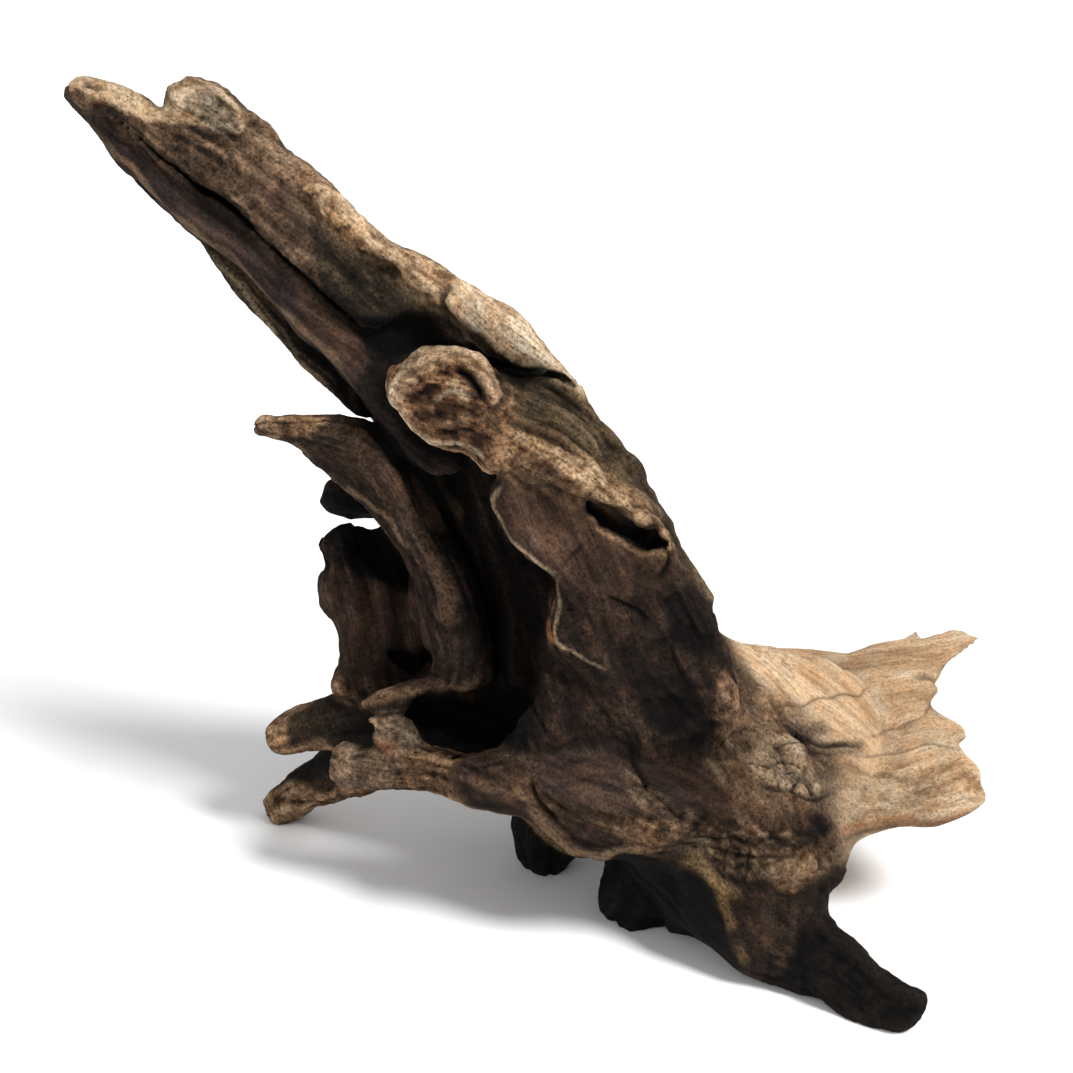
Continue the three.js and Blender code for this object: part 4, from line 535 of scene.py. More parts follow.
# Strokes: a line of the photograph, half its width and its height in mm, how much lighter, in which wood's
# light colour, or darker below 0, and the forms it is on
STROKES = [
    # pale rims under the spar's lower lobe and along its flange
    dict(half=1.2, rise=0.2, light=0.35, wood="tan", on="spar_low flange spar_core", pixels=[(89, 128),
         (132, 168), (161, 204), (208, 240), (261, 294), (312, 337), (341, 370), (355, 405)]),
    dict(half=1.0, rise=0.2, light=0.4, wood="honey", on="flange spar_core", pixels=[(215, 258), (240, 290),
         (276, 334), (312, 373), (348, 413)]),
    dict(half=0.5, rise=0.2, light=0.3, wood="honey", on="flange", pixels=[(222, 262), (262, 308),
         (300, 346), (332, 384)]),
    dict(half=0.5, rise=-0.4, light=-0.6, on="spar_low", pixels=[(104, 130), (132, 146), (152, 158),
         (176, 180)]),
    # a painted highlight along the spar's top edge
    dict(half=1.6, rise=0.4, light=0.5, wood="honey", on="spar_top", pixels=[(72, 84), (100, 92),
         (130, 100), (158, 112), (180, 118)]),
    # the spar tip's small hole
    dict(half=1.2, rise=-1.5, light=-0.85, on="spar_top", pixels=[(84, 87), (92, 87), (99, 89)]),
    # the nodule's pale rims, its cleft and its right end
    dict(half=0.8, rise=0.6, light=0.7, wood="cream", on="nodule", pixels=[(398, 372), (390, 384),
         (393, 400), (404, 417), (426, 437), (455, 452), (482, 462)]),
    dict(half=1.2, rise=0.5, light=0.4, wood="honey", on="nodule", pixels=[(396, 372), (408, 361),
         (433, 352), (456, 352), (480, 360), (500, 376)]),
    dict(half=0.8, rise=-1.4, light=-0.7, on="nodule", pixels=[(402, 392), (416, 390), (428, 380),
         (438, 380)]),
    dict(half=0.9, rise=-1.6, light=-0.5, on="nodule", pixels=[(436, 356), (441, 364), (438, 374)]),
    dict(half=0.9, rise=-1.2, light=-0.4, on="nodule", pixels=[(412, 366), (420, 372), (418, 380)]),
    dict(half=1.7, rise=-3.2, light=-0.95, on="nodule", pixels=[(452, 367), (462, 373), (476, 382),
         (488, 398)]),
    dict(half=1.5, rise=1.0, light=0.4, wood="cream", on="nodule", pixels=[(438, 394), (452, 388),
         (466, 396)]),
    dict(half=0.7, rise=-1.0, light=-0.6, on="nodule", pixels=[(414, 412), (428, 416), (440, 410),
         (450, 418)]),
    dict(half=0.7, rise=-1.0, light=-0.6, on="nodule", pixels=[(446, 432), (456, 440), (470, 436),
         (480, 446)]),
    dict(half=1.2, rise=-1.6, light=-0.75, pixels=[(498, 366), (508, 384), (504, 404), (492, 412)]),
    dict(half=0.8, rise=-0.8, light=-0.4, pixels=[(490, 420), (486, 436), (490, 458)]),
    # the groove at the left end of the pale lobe, and small dents on it
    dict(half=1.1, rise=-1.8, light=-0.8, pixels=[(447, 289), (441, 300), (446, 314), (462, 328)]),
    dict(half=1.2, rise=-1.0, light=-0.5, on="shoulder_lobe", pixels=[(462, 306), (470, 304), (476, 310)]),
    # a broad pale band along the lobe, painted light
    dict(half=4.5, rise=0, light=0.35, wood="cream", on="shoulder_lobe shoulder spar_top crown",
         pixels=[(458, 298), (480, 312), (510, 332), (540, 350), (562, 366)]),
    # furrows of the striated wood right of the nodule
    dict(half=0.9, rise=-0.6, light=-0.45, pixels=[(512, 384), (559, 402), (590, 428), (612, 462)]),
    dict(half=0.8, rise=-0.5, light=-0.4, pixels=[(516, 402), (566, 427), (600, 460), (624, 498)]),
    dict(half=0.8, rise=-0.5, light=-0.4, pixels=[(520, 420), (559, 445), (606, 485)]),
    dict(half=0.7, rise=-0.4, light=-0.35, pixels=[(520, 374), (566, 392), (604, 430), (628, 476)]),
    # plate A: pale left rim, and the rim below the slot
    dict(half=0.6, rise=0.6, light=0.55, wood="honey", on="plate_a", pixels=[(503, 481), (493, 492),
         (493, 509), (508, 533), (524, 549), (540, 565), (556, 577)]),
    dict(half=0.8, rise=0.4, light=0.4, wood="tan", pixels=[(594, 526), (612, 534), (632, 540),
         (652, 550)]),
    dict(half=0.8, rise=-1.2, light=-0.85, pixels=[(558, 571), (567, 561), (581, 546)]),
    dict(half=1.0, rise=-1.4, light=-0.85, pixels=[(652, 540), (668, 554), (667, 568), (660, 578)]),
    # plate B: pale rim with an orange strip beside it, and small cracks
    dict(half=0.5, rise=0.5, light=0.35, wood="honey", on="plate_b plate_a", pixels=[(560, 580), (557, 606),
         (558, 632), (569, 648), (588, 661), (602, 668)]),
    dict(half=0.8, rise=0, light=0.6, wood="rust", on="throat plate_b", pixels=[(553, 588), (550, 620),
         (556, 638)]),
    dict(half=0.7, rise=-1.0, light=-0.8, pixels=[(604, 598), (630, 606), (654, 628)]),
    dict(half=0.5, rise=-0.5, light=-0.5, pixels=[(586, 560), (592, 590), (602, 622), (612, 640)]),
    dict(half=0.7, rise=-0.8, light=-0.7, pixels=[(533, 704), (540, 716), (550, 730)]),
    # the apron's long cracks, and the lines that swirl round its boss
    dict(half=0.9, rise=-1.2, light=-0.8, pixels=[(628, 752), (646, 779), (682, 811), (700, 830)]),
    dict(half=0.9, rise=-1.2, light=-0.8, pixels=[(528, 790), (538, 806), (556, 824)]),
    dict(half=1.3, rise=-0.7, light=-0.45, pixels=[(530, 776), (540, 756), (566, 745), (602, 742),
         (640, 754)]),
    dict(half=1.1, rise=-0.6, light=-0.4, pixels=[(540, 800), (575, 813), (620, 816), (664, 812)]),
    dict(half=0.9, rise=-0.5, light=-0.35, pixels=[(552, 774), (584, 760), (620, 764), (650, 782)]),
    dict(half=0.9, rise=-0.5, light=-0.35, pixels=[(560, 790), (600, 780), (640, 792), (664, 800)]),
    dict(half=1.4, rise=0.5, light=0.35, wood="tan", pixels=[(500, 790), (520, 804), (556, 838), (592, 850),
         (646, 848)]),
    dict(half=0.7, rise=-1.0, light=-0.8, pixels=[(688, 834), (712, 842), (735, 838), (754, 850)]),
    dict(half=0.7, rise=-1.0, light=-0.8, pixels=[(704, 850), (730, 858), (760, 862), (782, 858)]),
    dict(half=0.6, rise=-0.8, light=-0.7, pixels=[(748, 838), (756, 852), (752, 868)]),
    # the yellow rim that runs down to the buttress
    dict(half=2.2, rise=0.5, light=0.6, wood="lemon", pixels=[(686, 858), (700, 870), (712, 886),
         (734, 897)]),
    dict(half=1.8, rise=0.4, light=0.4, wood="lemon", pixels=[(720, 898), (726, 914), (736, 944),
         (744, 958)]),
    # the fan: its long groove, splits round the knot, faint lines that run out from it, and the crease at
    # its root
    dict(half=0.5, rise=-0.5, light=-0.6, pixels=[(772, 705), (800, 703), (836, 698), (872, 692)]),
    dict(half=1.1, rise=-1.3, light=-0.85, pixels=[(794, 733), (812, 742), (828, 747), (858, 744)]),
    dict(half=0.9, rise=-1.2, light=-0.7, pixels=[(800, 738), (814, 754), (838, 757)]),
    dict(half=0.9, rise=-1.3, light=-0.75, pixels=[(754, 776), (775, 788), (800, 795), (842, 791)]),
    dict(half=0.6, rise=-0.8, light=-0.6, pixels=[(766, 766), (784, 762), (802, 770)]),
    dict(half=0.6, rise=-0.8, light=-0.6, pixels=[(774, 750), (782, 767), (791, 786)]),
    dict(half=0.5, rise=-0.3, light=-0.45, pixels=[(856, 758), (892, 751), (930, 750), (960, 756)]),
    dict(half=0.5, rise=-0.3, light=-0.45, pixels=[(862, 736), (894, 726), (916, 718), (926, 706)]),
    dict(half=0.6, rise=-0.4, light=-0.3, pixels=[(842, 770), (870, 774), (914, 776)]),
    dict(half=0.6, rise=-0.4, light=-0.3, pixels=[(812, 788), (856, 788), (904, 800)]),
    dict(half=0.6, rise=-0.4, light=-0.3, pixels=[(806, 660), (850, 668), (896, 664), (930, 660)]),
    dict(half=0.6, rise=-0.3, light=-0.3, pixels=[(760, 640), (820, 648), (880, 640)]),
    dict(half=1.4, rise=-1.2, light=-0.55, pixels=[(732, 662), (760, 694), (780, 719), (800, 742)]),
    dict(half=0.8, rise=-0.8, light=-0.6, pixels=[(912, 680), (922, 678), (930, 680)]),
    dict(half=2.2, rise=0.3, light=0.6, wood="rust", on="fan saddle", pixels=[(804, 856), (828, 842),
         (856, 828), (884, 820), (913, 816), (940, 818), (966, 818)]),
    dict(half=1.0, rise=-0.3, light=-0.45, on="fan saddle", pixels=[(804, 864), (830, 850), (858, 835),
         (886, 827), (914, 823), (942, 824), (968, 822)]),
    # the rib's pale edge, and painted highlights on the lit edges of the inner ridge and the cross root
    dict(half=1.0, rise=0.3, light=0.35, wood="tan", on="rib", pixels=[(296, 448), (346, 486), (388, 520),
         (410, 548)]),
    dict(half=0.9, rise=-0.8, light=-0.7, on="rib rib_web", pixels=[(424, 570), (436, 590), (440, 606)]),
    dict(half=1.2, rise=0.3, light=0.35, wood="tan", on="tongue inner_ridge trunk", pixels=[(400, 410),
         (436, 473), (466, 536), (488, 600)]),
    dict(half=1.2, rise=0.4, light=0.5, wood="tan", on="cross_root", pixels=[(396, 752), (440, 758),
         (472, 767), (504, 782)]),
    dict(half=1.0, rise=-1.0, light=-0.8, on="cross_root", pixels=[(322, 756), (350, 758), (372, 752)]),
    dict(half=0.9, rise=-1.0, light=-0.8, on="cross_root", pixels=[(396, 768), (392, 786), (404, 790)]),
]

# Forks: the box that takes each branch, as in the part's source, and then the trunk's own upper lengths
FORKS = [
    dict(name="pointed_spike", node="side_spike", slot="spar_wood", at=(-70, 12, 158),
         toward=(-0.86, -0.1, 0.5), size=(50, 24, 20)),
    dict(name="split_spar", node="spar", slot="spar_wood", at=(-47, 30, 195), toward=(-0.7, 0.23, 0.67),
         size=(160, 70, 84)),
    dict(name="pale_fan", node="fan", slot="fan_wood", at=(86, 2, 56), toward=(1, 0, 0),
         size=(100, 120, 62)),
    dict(name="front_leg", node="front_root", slot="root_wood", at=(90, -67, 10),
         toward=(0.78, -0.6, -0.16), size=(60, 44, 40)),
    dict(name="rear_leg", node="rear_root", slot="root_wood", at=(63, 40, 34), toward=(0.46, 0.5, -0.73),
         size=(60, 60, 50)),
    dict(name="left_toe", node="left_root", slot="root_wood", at=(-66, 27, 24), toward=(-0.76, 0.35, -0.55),
         size=(60, 24, 24)),
    dict(name="trunk_crown", node="trunk", slot="trunk_wood", at=(0, 0, 118), toward=(0, 0.001, 1),
         size=(200, 400, 400)),
    dict(name="trunk_waist", node="trunk", slot="trunk_wood", at=(0, 0, 60), toward=(0, 0.001, 1),
         size=(200, 400, 400)),
]
FOOT = dict(name="trunk_foot", node="trunk", slot="trunk_wood")


def pixel_to_face(pixels, depth):
    """Places on the leaning face, at that depth towards the camera, of points of the photograph."""
    scale = (1 - depth / CAMERA_AWAY) / PIXELS_PER_MM
    middle = PIXELS / 2
    return [((x - middle) * scale, (middle - y) * scale) for x, y in pixels]


def face_to_pixel(face):
    """The photograph's pixels of places on the leaning face."""
    scale = PIXELS_PER_MM / (1 - face[:, 2:] / CAMERA_AWAY)
    return PIXELS / 2 + face[:, :2] * scale * (1, -1)


def smooth_min(a, b, k):
    """The lesser of two distances, rounded off where they differ by less than k."""
    h = np.maximum(k - np.abs(a - b), 0) / k
    return np.minimum(a, b) - h * h * k / 4


def smooth_max(a, b, k):
    return -smooth_min(-a, -b, k)


def unit(v):
    return v / np.maximum(np.linalg.norm(v, axis=-1, keepdims=True), TINY)


def ramp(x, low, high):
    """0 below low, 1 above high, and a smooth step between them."""
    t = np.clip((x - low) / (high - low), 0, 1)
    return t * t * (3 - 2 * t)


def curve(rows, steps, closed=False):
    """Catmull-Rom through rows of numbers."""
    rows = np.array(rows, float)
    if closed:
        rows = np.vstack([rows[-1], rows, rows[:2]])
    else:
        rows = np.vstack([2 * rows[0] - rows[1], rows, 2 * rows[-1] - rows[-2]])
    t = (np.arange(steps) / steps)[:, None]
    out = []
    for p0, p1, p2, p3 in zip(rows, rows[1:], rows[2:], rows[3:]):
        out.append(0.5 * (2 * p1 + (p2 - p0) * t + (2 * p0 - 5 * p1 + 4 * p2 - p3) * t**2
                          + (3 * p1 - p0 - 3 * p2 + p3) * t**3))
    if not closed:
        out.append(rows[-2:-1])
    return np.concatenate(out)


def between(grid, cell, share):
    """A grid's values in its cells, that share of the way through each. Past its end it starts again."""
    out = np.zeros(len(cell))
    for corner in CORNERS:
        weight = np.prod(np.where(corner, share, 1 - share), axis=1)
        out += weight * grid[tuple(((cell + corner) % grid.shape).T)]
    return out


lattice = np.random.default_rng(SEED).uniform(-1, 1, (LATTICE, LATTICE, LATTICE))


def noise(place, lump, seed):
    """Smooth chance values from -1 to 1, in lumps of that size, or of a size for each axis."""
    p = place / np.array(lump) + seed * SEED_SHIFT
    cell = np.floor(p).astype(int)
    t = p - cell
    t = t * t * (3 - 2 * t)
    return between(lattice, cell, t)


def outline_distance(ring, q):
    """Distance in the face's plane to a closed outline, negative inside it."""
    best = np.full(len(q), np.inf)
    inside = np.zeros(len(q), bool)
    for a, b in zip(ring, np.roll(ring, -1, 0)):
        e = b - a
        r = q - a
        t = np.clip(r @ e / max(e @ e, TINY), 0, 1)
        best = np.minimum(best, (r[:, 0] - t * e[0]) ** 2 + (r[:, 1] - t * e[1]) ** 2)
        crosses = (q[:, 1] >= a[1]) != (q[:, 1] >= b[1])
        inside ^= crosses & (q[:, 0] < a[0] + r[:, 1] * e[0] / (e[1] or TINY))
    return np.where(inside, -1, 1) * np.sqrt(best)


def along_line(line, q):
    """Distance to an open line of points, and the share of its length at the nearest place."""
    best = np.full(len(q), np.inf)
    share = np.zeros(len(q))
    last = len(line) - 1
    for i in range(last):
        e = line[i + 1] - line[i]
        r = q - line[i]
        t = np.clip(r @ e / max(e @ e, TINY), 0, 1)
        d = np.hypot(r[:, 0] - t * e[0], r[:, 1] - t * e[1])
        share = np.where(d < best, (i + t) / last, share)
        best = np.minimum(best, d)
    return best, share


def taper(share, rate):
    """From near 0 at both ends of a line to 1 along its middle."""
    return np.sqrt(np.clip(rate * np.minimum(share + LINE_END, 1 + LINE_END - share), 0, 1))


class Boxed:
    """Something with a box round it, in its own columns of a place."""

    def near(self, where):
        own = where[:, self.columns]
        return np.all((own > self.low) & (own < self.high), axis=1)


class Limb(Boxed):
    """A rounded length of wood along a spine."""

    columns = slice(0, 3)
    ragged = 0.4

    def __init__(self, name, blend, side, rows, flutes=None, wood=None):
        self.name, self.blend, self.flutes, self.wood = name, blend, flutes, wood
        points = curve(rows, LIMB_STEPS)
        self.at = points[:, :3]
        self.half = np.maximum(points[:, 3:5], LEAST_LIMB)
        steps = np.diff(self.at, axis=0)
        run = unit(np.vstack([steps[:1], self.at[2:] - self.at[:-2], steps[-1:]]))
        side = np.array(side, float)
        self.side = unit(side - run * (run @ side)[:, None])
        self.face = np.cross(run, self.side)
        self.along = np.concatenate([[0], np.cumsum(np.linalg.norm(steps, axis=1))])
        grown = self.half.max() + REACH
        self.low = self.at.min(0) - grown
        self.high = self.at.max(0) + grown

    def measure(self, where, with_place=False):
        """Distance to the limb's surface, and on request the place along, across and through it."""
        p = where[:, :3]
        best = np.full(len(p), np.inf)
        place = np.zeros((len(p), 3))
        for i in range(len(self.at) - 1):
            run = self.at[i + 1] - self.at[i]
            off = p - self.at[i]
            t = np.clip(off @ run / (run @ run), 0, 1)
            off = off - t[:, None] * run
            across = (1 - t) * (off @ self.side[i]) + t * (off @ self.side[i + 1])
            wide = self.half[i, 0] * (1 - t) + self.half[i + 1, 0] * t
            thin = self.half[i, 1] * (1 - t) + self.half[i + 1, 1] * t
            over = np.maximum(np.abs(across) - np.maximum(wide - thin, 0), 0)
            square = np.einsum("ij,ij->i", off, off) - across**2
            d = np.sqrt(np.maximum(square, 0) + over**2) - np.minimum(thin, wide)
            if self.flutes or with_place:
                through = (1 - t) * (off @ self.face[i]) + t * (off @ self.face[i + 1])
                along = self.along[i] + t * (self.along[i + 1] - self.along[i])
            if self.flutes:
                count, depth, twist = self.flutes
                d = d + depth * np.cos(count * np.arctan2(through, across) + twist * along)
            nearer = d < best
            best = np.where(nearer, d, best)
            if with_place:
                place[nearer] = np.stack([along, across, through], 1)[nearer]
        return (best, place) if with_place else best


class Sheet(Boxed):
    """A flat-lying form, seen square on from the front by its outline."""

    columns = slice(3, 6)
    ragged = 1.0

    def __init__(self, name, blend, plane, half, rim, outline, grain=None, wood=None):
        self.name, self.blend, self.plane, self.half, self.rim = name, blend, np.array(plane), half, rim
        self.grain, self.wood = grain, wood
        self.angle = np.radians(grain[0] if grain else SPAR_GRAIN)
        steps = LONG_OUTLINE_STEPS if len(outline) > LONG_OUTLINE else OUTLINE_STEPS
        self.ring = curve(outline, steps, closed=True)
        middle = plane[0] + self.ring @ self.plane[1:]
        thick = self.thickness(self.ring)
        self.low = np.array([*self.ring.min(0), (middle - thick).min()]) - REACH
        self.high = np.array([*self.ring.max(0), (middle + thick).max()]) + REACH
        self.slope = np.sqrt(1 + plane[1] ** 2 + plane[2] ** 2)

    def thickness(self, face):
        return np.maximum(self.half[0] + self.half[1] * face[:, 0], LEAST_SHEET)

    def place(self, face):
        """The place along, over and through the sheet's grain."""
        c, s = np.cos(self.angle), np.sin(self.angle)
        along = face[:, 0] * c + face[:, 1] * s
        over = face[:, 1] * c - face[:, 0] * s
        deep = face[:, 2] - self.plane[0] - face[:, :2] @ self.plane[1:]
        return np.stack([along, over, deep], 1)

    def ridges(self, face):
        """Height of the ridges along the grain, which bend and swell."""
        _, gap, height = self.grain
        along, over, _ = self.place(face).T
        bend = (BEND_ALONG["size"] * np.sin(along / gap * BEND_ALONG["turn"])
                + BEND_DEEP["size"] * np.sin(face[:, 2] / gap * BEND_DEEP["turn"]))
        swell = SWELL["least"] + SWELL["size"] * np.sin(along / gap * SWELL["turn"] + SWELL["start"])
        return height * np.sin(2 * np.pi * over / gap + bend) * swell

    def measure(self, where, with_place=False):
        """Distance to the sheet's surface, and on request the place in its grain."""
        face = where[:, 3:]
        out = outline_distance(self.ring, face[:, :2])
        middle = self.plane[0] + face[:, :2] @ self.plane[1:]
        thick = self.thickness(face)
        rounding = np.minimum(self.rim, thick)
        a = np.where(out > 0, out + rounding, (out + self.rim) * rounding / self.rim)
        b = np.abs(face[:, 2] - middle) / self.slope - thick + rounding
        d = np.minimum(np.maximum(a, b), 0) + np.hypot(np.maximum(a, 0), np.maximum(b, 0)) - rounding
        if self.grain:
            d = d + self.ridges(face)
        return (d, self.place(face)) if with_place else d


class Crack(Boxed):
    """A crack in the face along a line of the photograph, as deep as it says below the surface there."""

    columns = slice(3, 6)

    def __init__(self, pixels, half, depth, plane):
        self.line = curve(pixel_to_face(pixels, plane), LINE_STEPS)
        self.half, self.depth, self.plane = half, depth, plane
        self.low = np.array([*self.line.min(0), plane - CRACK_REACH]) - half - 1
        self.high = np.array([*self.line.max(0), plane + CRACK_REACH]) + half + 1

    def cut(self, d, where):
        """The field with the crack taken out of it."""
        face = where[:, 3:]
        best, share = along_line(self.line, face[:, :2])
        carved = np.minimum(self.half * taper(share, CRACK_TAPER) - best, d + self.depth)
        carved = np.minimum(carved, CRACK_REACH - np.abs(face[:, 2] - self.plane))
        return smooth_max(d, carved, CRACK_BLEND)


class Mark(Boxed):
    """A mark on the wood, placed by the pixels of the photograph."""

    columns = slice(0, 2)

    def share(self, pixels):
        """How much of it the points at those pixels take."""
        out = np.zeros(len(pixels))
        near = self.near(pixels)
        out[near] = self.strength(pixels[near])
        return out


class Patch(Mark):
    """An area of the photograph where some forms take another wood."""

    def __init__(self, pixels, wood, share, on=""):
        self.ring = curve(pixels, LINE_STEPS, closed=True)
        self.wood, self.most, self.on = wood, share, on.split()
        self.low, self.high = self.ring.min(0) - PATCH_EDGE, self.ring.max(0) + PATCH_EDGE

    def covers(self, form):
        """Whether it is on a form: one that it names, or any but the rear ones if it names none."""
        return form.name in self.on if self.on else not form.name.startswith("rear")

    def strength(self, pixels):
        return self.most * ramp(-outline_distance(self.ring, pixels), -PATCH_EDGE, PATCH_EDGE)


class Stroke(Mark):
    """A line of the photograph that is raised or sunk, and lightened or darkened, on some forms."""

    def __init__(self, pixels, half, rise, light, wood=None, on=""):
        self.line = curve(pixels, LINE_STEPS)
        self.half = half * PIXELS_PER_MM
        self.rise, self.light, self.wood, self.on = rise, light, wood, on.split()
        self.low = self.line.min(0) - STROKE_REACH * self.half
        self.high = self.line.max(0) + STROKE_REACH * self.half

    def strength(self, pixels):
        """1 on the line, and falling to 0 past half its width and towards its ends."""
        d, share = along_line(self.line, pixels)
        return np.exp(-(d / self.half) ** STROKE_POWER) * taper(share, STROKE_TAPER)


limbs = [Limb(**form) for form in LIMBS]
sheets = [Sheet(**form) for form in SHEETS]
hollows = [Limb(**form) for form in HOLLOWS]
dents = [Sheet(**form) for form in DENTS]
cracks = [Crack(**line) for line in CRACKS]
forms = sheets + limbs
patches = [Patch(**area) for area in PATCHES]
strokes = [Stroke(**line) for line in STROKES]


def locate(points):
    """Six columns a point: its place bent by the slow waves, and that place in the leaning face's frame."""
    bent = points.copy()
    for wave, phase, sway in WAVES:
        bent += np.sin(points @ wave + phase)[:, None] * np.array(sway)
    up = bent[:, 2] - FACE_MIDDLE
    over = bent[:, 1] * np.sin(LEAN) + up * np.cos(LEAN)
    out = up * np.sin(LEAN) - bent[:, 1] * np.cos(LEAN)
    return np.column_stack([bent, bent[:, 0], over, out])


def wood_field(points):
    """Negative inside the wood, in mm from its surface."""
    where = locate(points)
    d = np.full(len(points), FAR)
    for form in forms:
        near = form.near(where)
        d[near] = smooth_min(d[near], form.measure(where[near]), form.blend)
    for form in hollows + dents:
        near = form.near(where)
        bent = where[near, :3]
        ragged = noise(bent, **RAGGED_COARSE) + RAGGED_FINE_SHARE * noise(bent, **RAGGED_FINE)
        d[near] = smooth_max(d[near], RAGGED * ragged * form.ragged - form.measure(where[near]), form.blend)
    for crack in cracks:
        near = crack.near(where)
        d[near] = crack.cut(d[near], where[near])
    return np.maximum(d, -points[:, 2])


def in_threads(work, points):
    """Work on slices of the points, a few at a time, and join the results."""
    parts = np.array_split(points, max(1, len(points) // SLICE))
    with ThreadPoolExecutor(THREADS) as pool:
        return np.concatenate(list(pool.map(work, parts)))


def halve(value):
    """The grid with half the step: values between old ones are their means."""
    for axis in range(3):
        value = np.moveaxis(value, axis, 0)
        fine = np.empty((2 * len(value) - 1, *value.shape[1:]), np.float32)
        fine[::2] = value
        fine[1::2] = (value[:-1] + value[1:]) / 2
        value = np.moveaxis(fine, 0, axis)
    return value


def sample_grid(step):
    """The field on a grid, worked out closely only near the surface."""
    rough = ROUGH * step
    shape = np.ceil((HIGHEST - LOWEST) / rough).astype(int) + 1
    places = LOWEST + np.indices(shape).reshape(3, -1).T * rough
    value = in_threads(wood_field, places).astype(np.float32).reshape(shape)
    for times, band in BANDS:
        value = np.ascontiguousarray(halve(value))
        near = np.flatnonzero(np.abs(value.ravel()) < band * step)
        places = LOWEST + np.stack(np.unravel_index(near, value.shape), 1) * (times * step)
        value.ravel()[near] = in_threads(wood_field, places)
    return value


def close_touches(value):
    """Fill the grid squares whose corners alternate, where the surface would touch itself."""
    found = True
    while found:
        found = False
        for u, v in ((0, 1), (0, 2), (1, 2)):
            corners = []
            for a, b in ((0, 0), (1, 0), (1, 1), (0, 1)):
                index = [slice(None)] * 3
                index[u] = slice(a, value.shape[u] - 1 + a)
                index[v] = slice(b, value.shape[v] - 1 + b)
                corners.append(value[tuple(index)])
            inside = [corner < 0 for corner in corners]
            odd = (inside[0] == inside[2]) & (inside[1] == inside[3]) & (inside[0] != inside[1])
            for first, second in ((0, 2), (1, 3)):
                outer = odd & ~inside[first]
                if outer.any():
                    lower = corners[first] < corners[second]
                    corners[first][outer & lower] = -TOUCH
                    corners[second][outer & ~lower] = -TOUCH
                    found = True
    return value


def in_fork(points, fork):
    """Which points are in the box that takes a branch."""
    run = unit(np.array(fork["toward"]))
    side = unit(np.cross([0, 0, 1], run))
    top = np.cross(run, side)
    long, wide, deep = fork["size"]
    off = points - fork["at"]
    return ((off @ run > 0) & (off @ run < long) & (np.abs(off @ side) < wide / 2)
            & (np.abs(off @ top) < deep / 2))


def name_pieces(value, step):
    """The piece that each grid point inside the wood belongs to, counted from 1, and 0 outside the wood."""
    inside = np.flatnonzero(value.ravel() < 0)
    places = LOWEST + np.stack(np.unravel_index(inside, value.shape), 1) * step
    piece = np.full(len(places), len(FORKS) + 1, np.uint8)
    for n, fork in reversed(list(enumerate(FORKS, 1))):
        piece[in_fork(places, fork)] = n
    label = np.zeros(value.shape, np.uint8)
    label.ravel()[inside] = piece
    return label


def used_cells(label):
    """The grid cells where the wood or a piece of it ends, and each cell's number among them, or -1."""
    cells = tuple(n - 1 for n in label.shape)
    lowest = np.full(cells, 255, np.uint8)
    highest = np.zeros(cells, np.uint8)
    for i, j, k in CORNERS:
        corner = label[i:cells[0] + i, j:cells[1] + j, k:cells[2] + k]
        np.minimum(lowest, corner, out=lowest)
        np.maximum(highest, corner, out=highest)
    used = np.argwhere(lowest != highest)
    number = np.full(cells, -1, np.int32)
    number[tuple(used.T)] = np.arange(len(used))
    return used, number


def cell_points(value, used, step):
    """A point in each cell, amid the places where its edges cross the surface, and whether any edge does."""
    total = np.zeros((len(used), 3))
    times = np.zeros(len(used))
    for corner in CORNERS:
        for axis in np.flatnonzero(corner == 0):
            run = np.eye(3, dtype=int)[axis]
            start = value[tuple((used + corner).T)]
            end = value[tuple((used + corner + run).T)]
            crossed = (start < 0) != (end < 0)
            t = start / np.where(crossed, start - end, 1)
            total += crossed[:, None] * (corner + run * t[:, None])
            times += crossed
    outer = times > 0
    middle = np.where(outer[:, None], total / np.maximum(times, 1)[:, None], 0.5)
    return LOWEST + (used + middle) * step, outer


def net_quads(label, number):
    """A quad round each grid edge where a piece ends: those of the wood's own surface, and those of each
    piece, which are closed where it was cut."""
    skin = []
    pieces = {n: [] for n in range(1, len(FORKS) + 2)}
    for axis in range(3):
        u, v = (axis + 1) % 3, (axis + 2) % 3
        start = [slice(1, -1)] * 3
        start[axis] = slice(0, -1)
        end = list(start)
        end[axis] = slice(1, None)
        before, after = label[tuple(start)], label[tuple(end)]
        at = np.argwhere(before != after)
        before, after = before[tuple(at.T)], after[tuple(at.T)]
        at = at + (np.arange(3) != axis)
        ring = []
        for du, dv in ((0, 0), (-1, 0), (-1, -1), (0, -1)):
            cell = at.copy()
            cell[:, u] += du
            cell[:, v] += dv
            ring.append(number[tuple(cell.T)])
        ring = np.stack(ring, 1)
        back = ring[:, ::-1]
        skin += [ring[after == 0], back[before == 0]]
        for n, own in pieces.items():
            own += [ring[before == n], back[after == n]]
    return np.concatenate(skin), {n: np.concatenate(own) for n, own in pieces.items()}


def gather(index, values, size):
    """Sum of the rows of values at each index."""
    return np.stack([np.bincount(index, column, size) for column in values.T], 1)


def vertex_normals(points, quads):
    a, b, c, d = (points[quads[:, i]] for i in range(4))
    normal = np.cross(c - a, d - b)
    return unit(sum(gather(quads[:, i], normal, len(points)) for i in range(4)))


def read_grid(value, step, points):
    """The grid's value at points between its own."""
    place = np.clip((points - LOWEST) / step, 0, np.array(value.shape) - GRID_END)
    cell = place.astype(int)
    return between(value, cell, place - cell)


def openness(value, step, points, normals):
    """From 0, deep in a hollow, to 1, out in the open."""
    total = np.zeros(len(points))
    for away in OPEN_AWAY:
        total += np.clip(read_grid(value, step, points + normals * away) / away, 0, 1)
    return total / len(OPEN_AWAY)


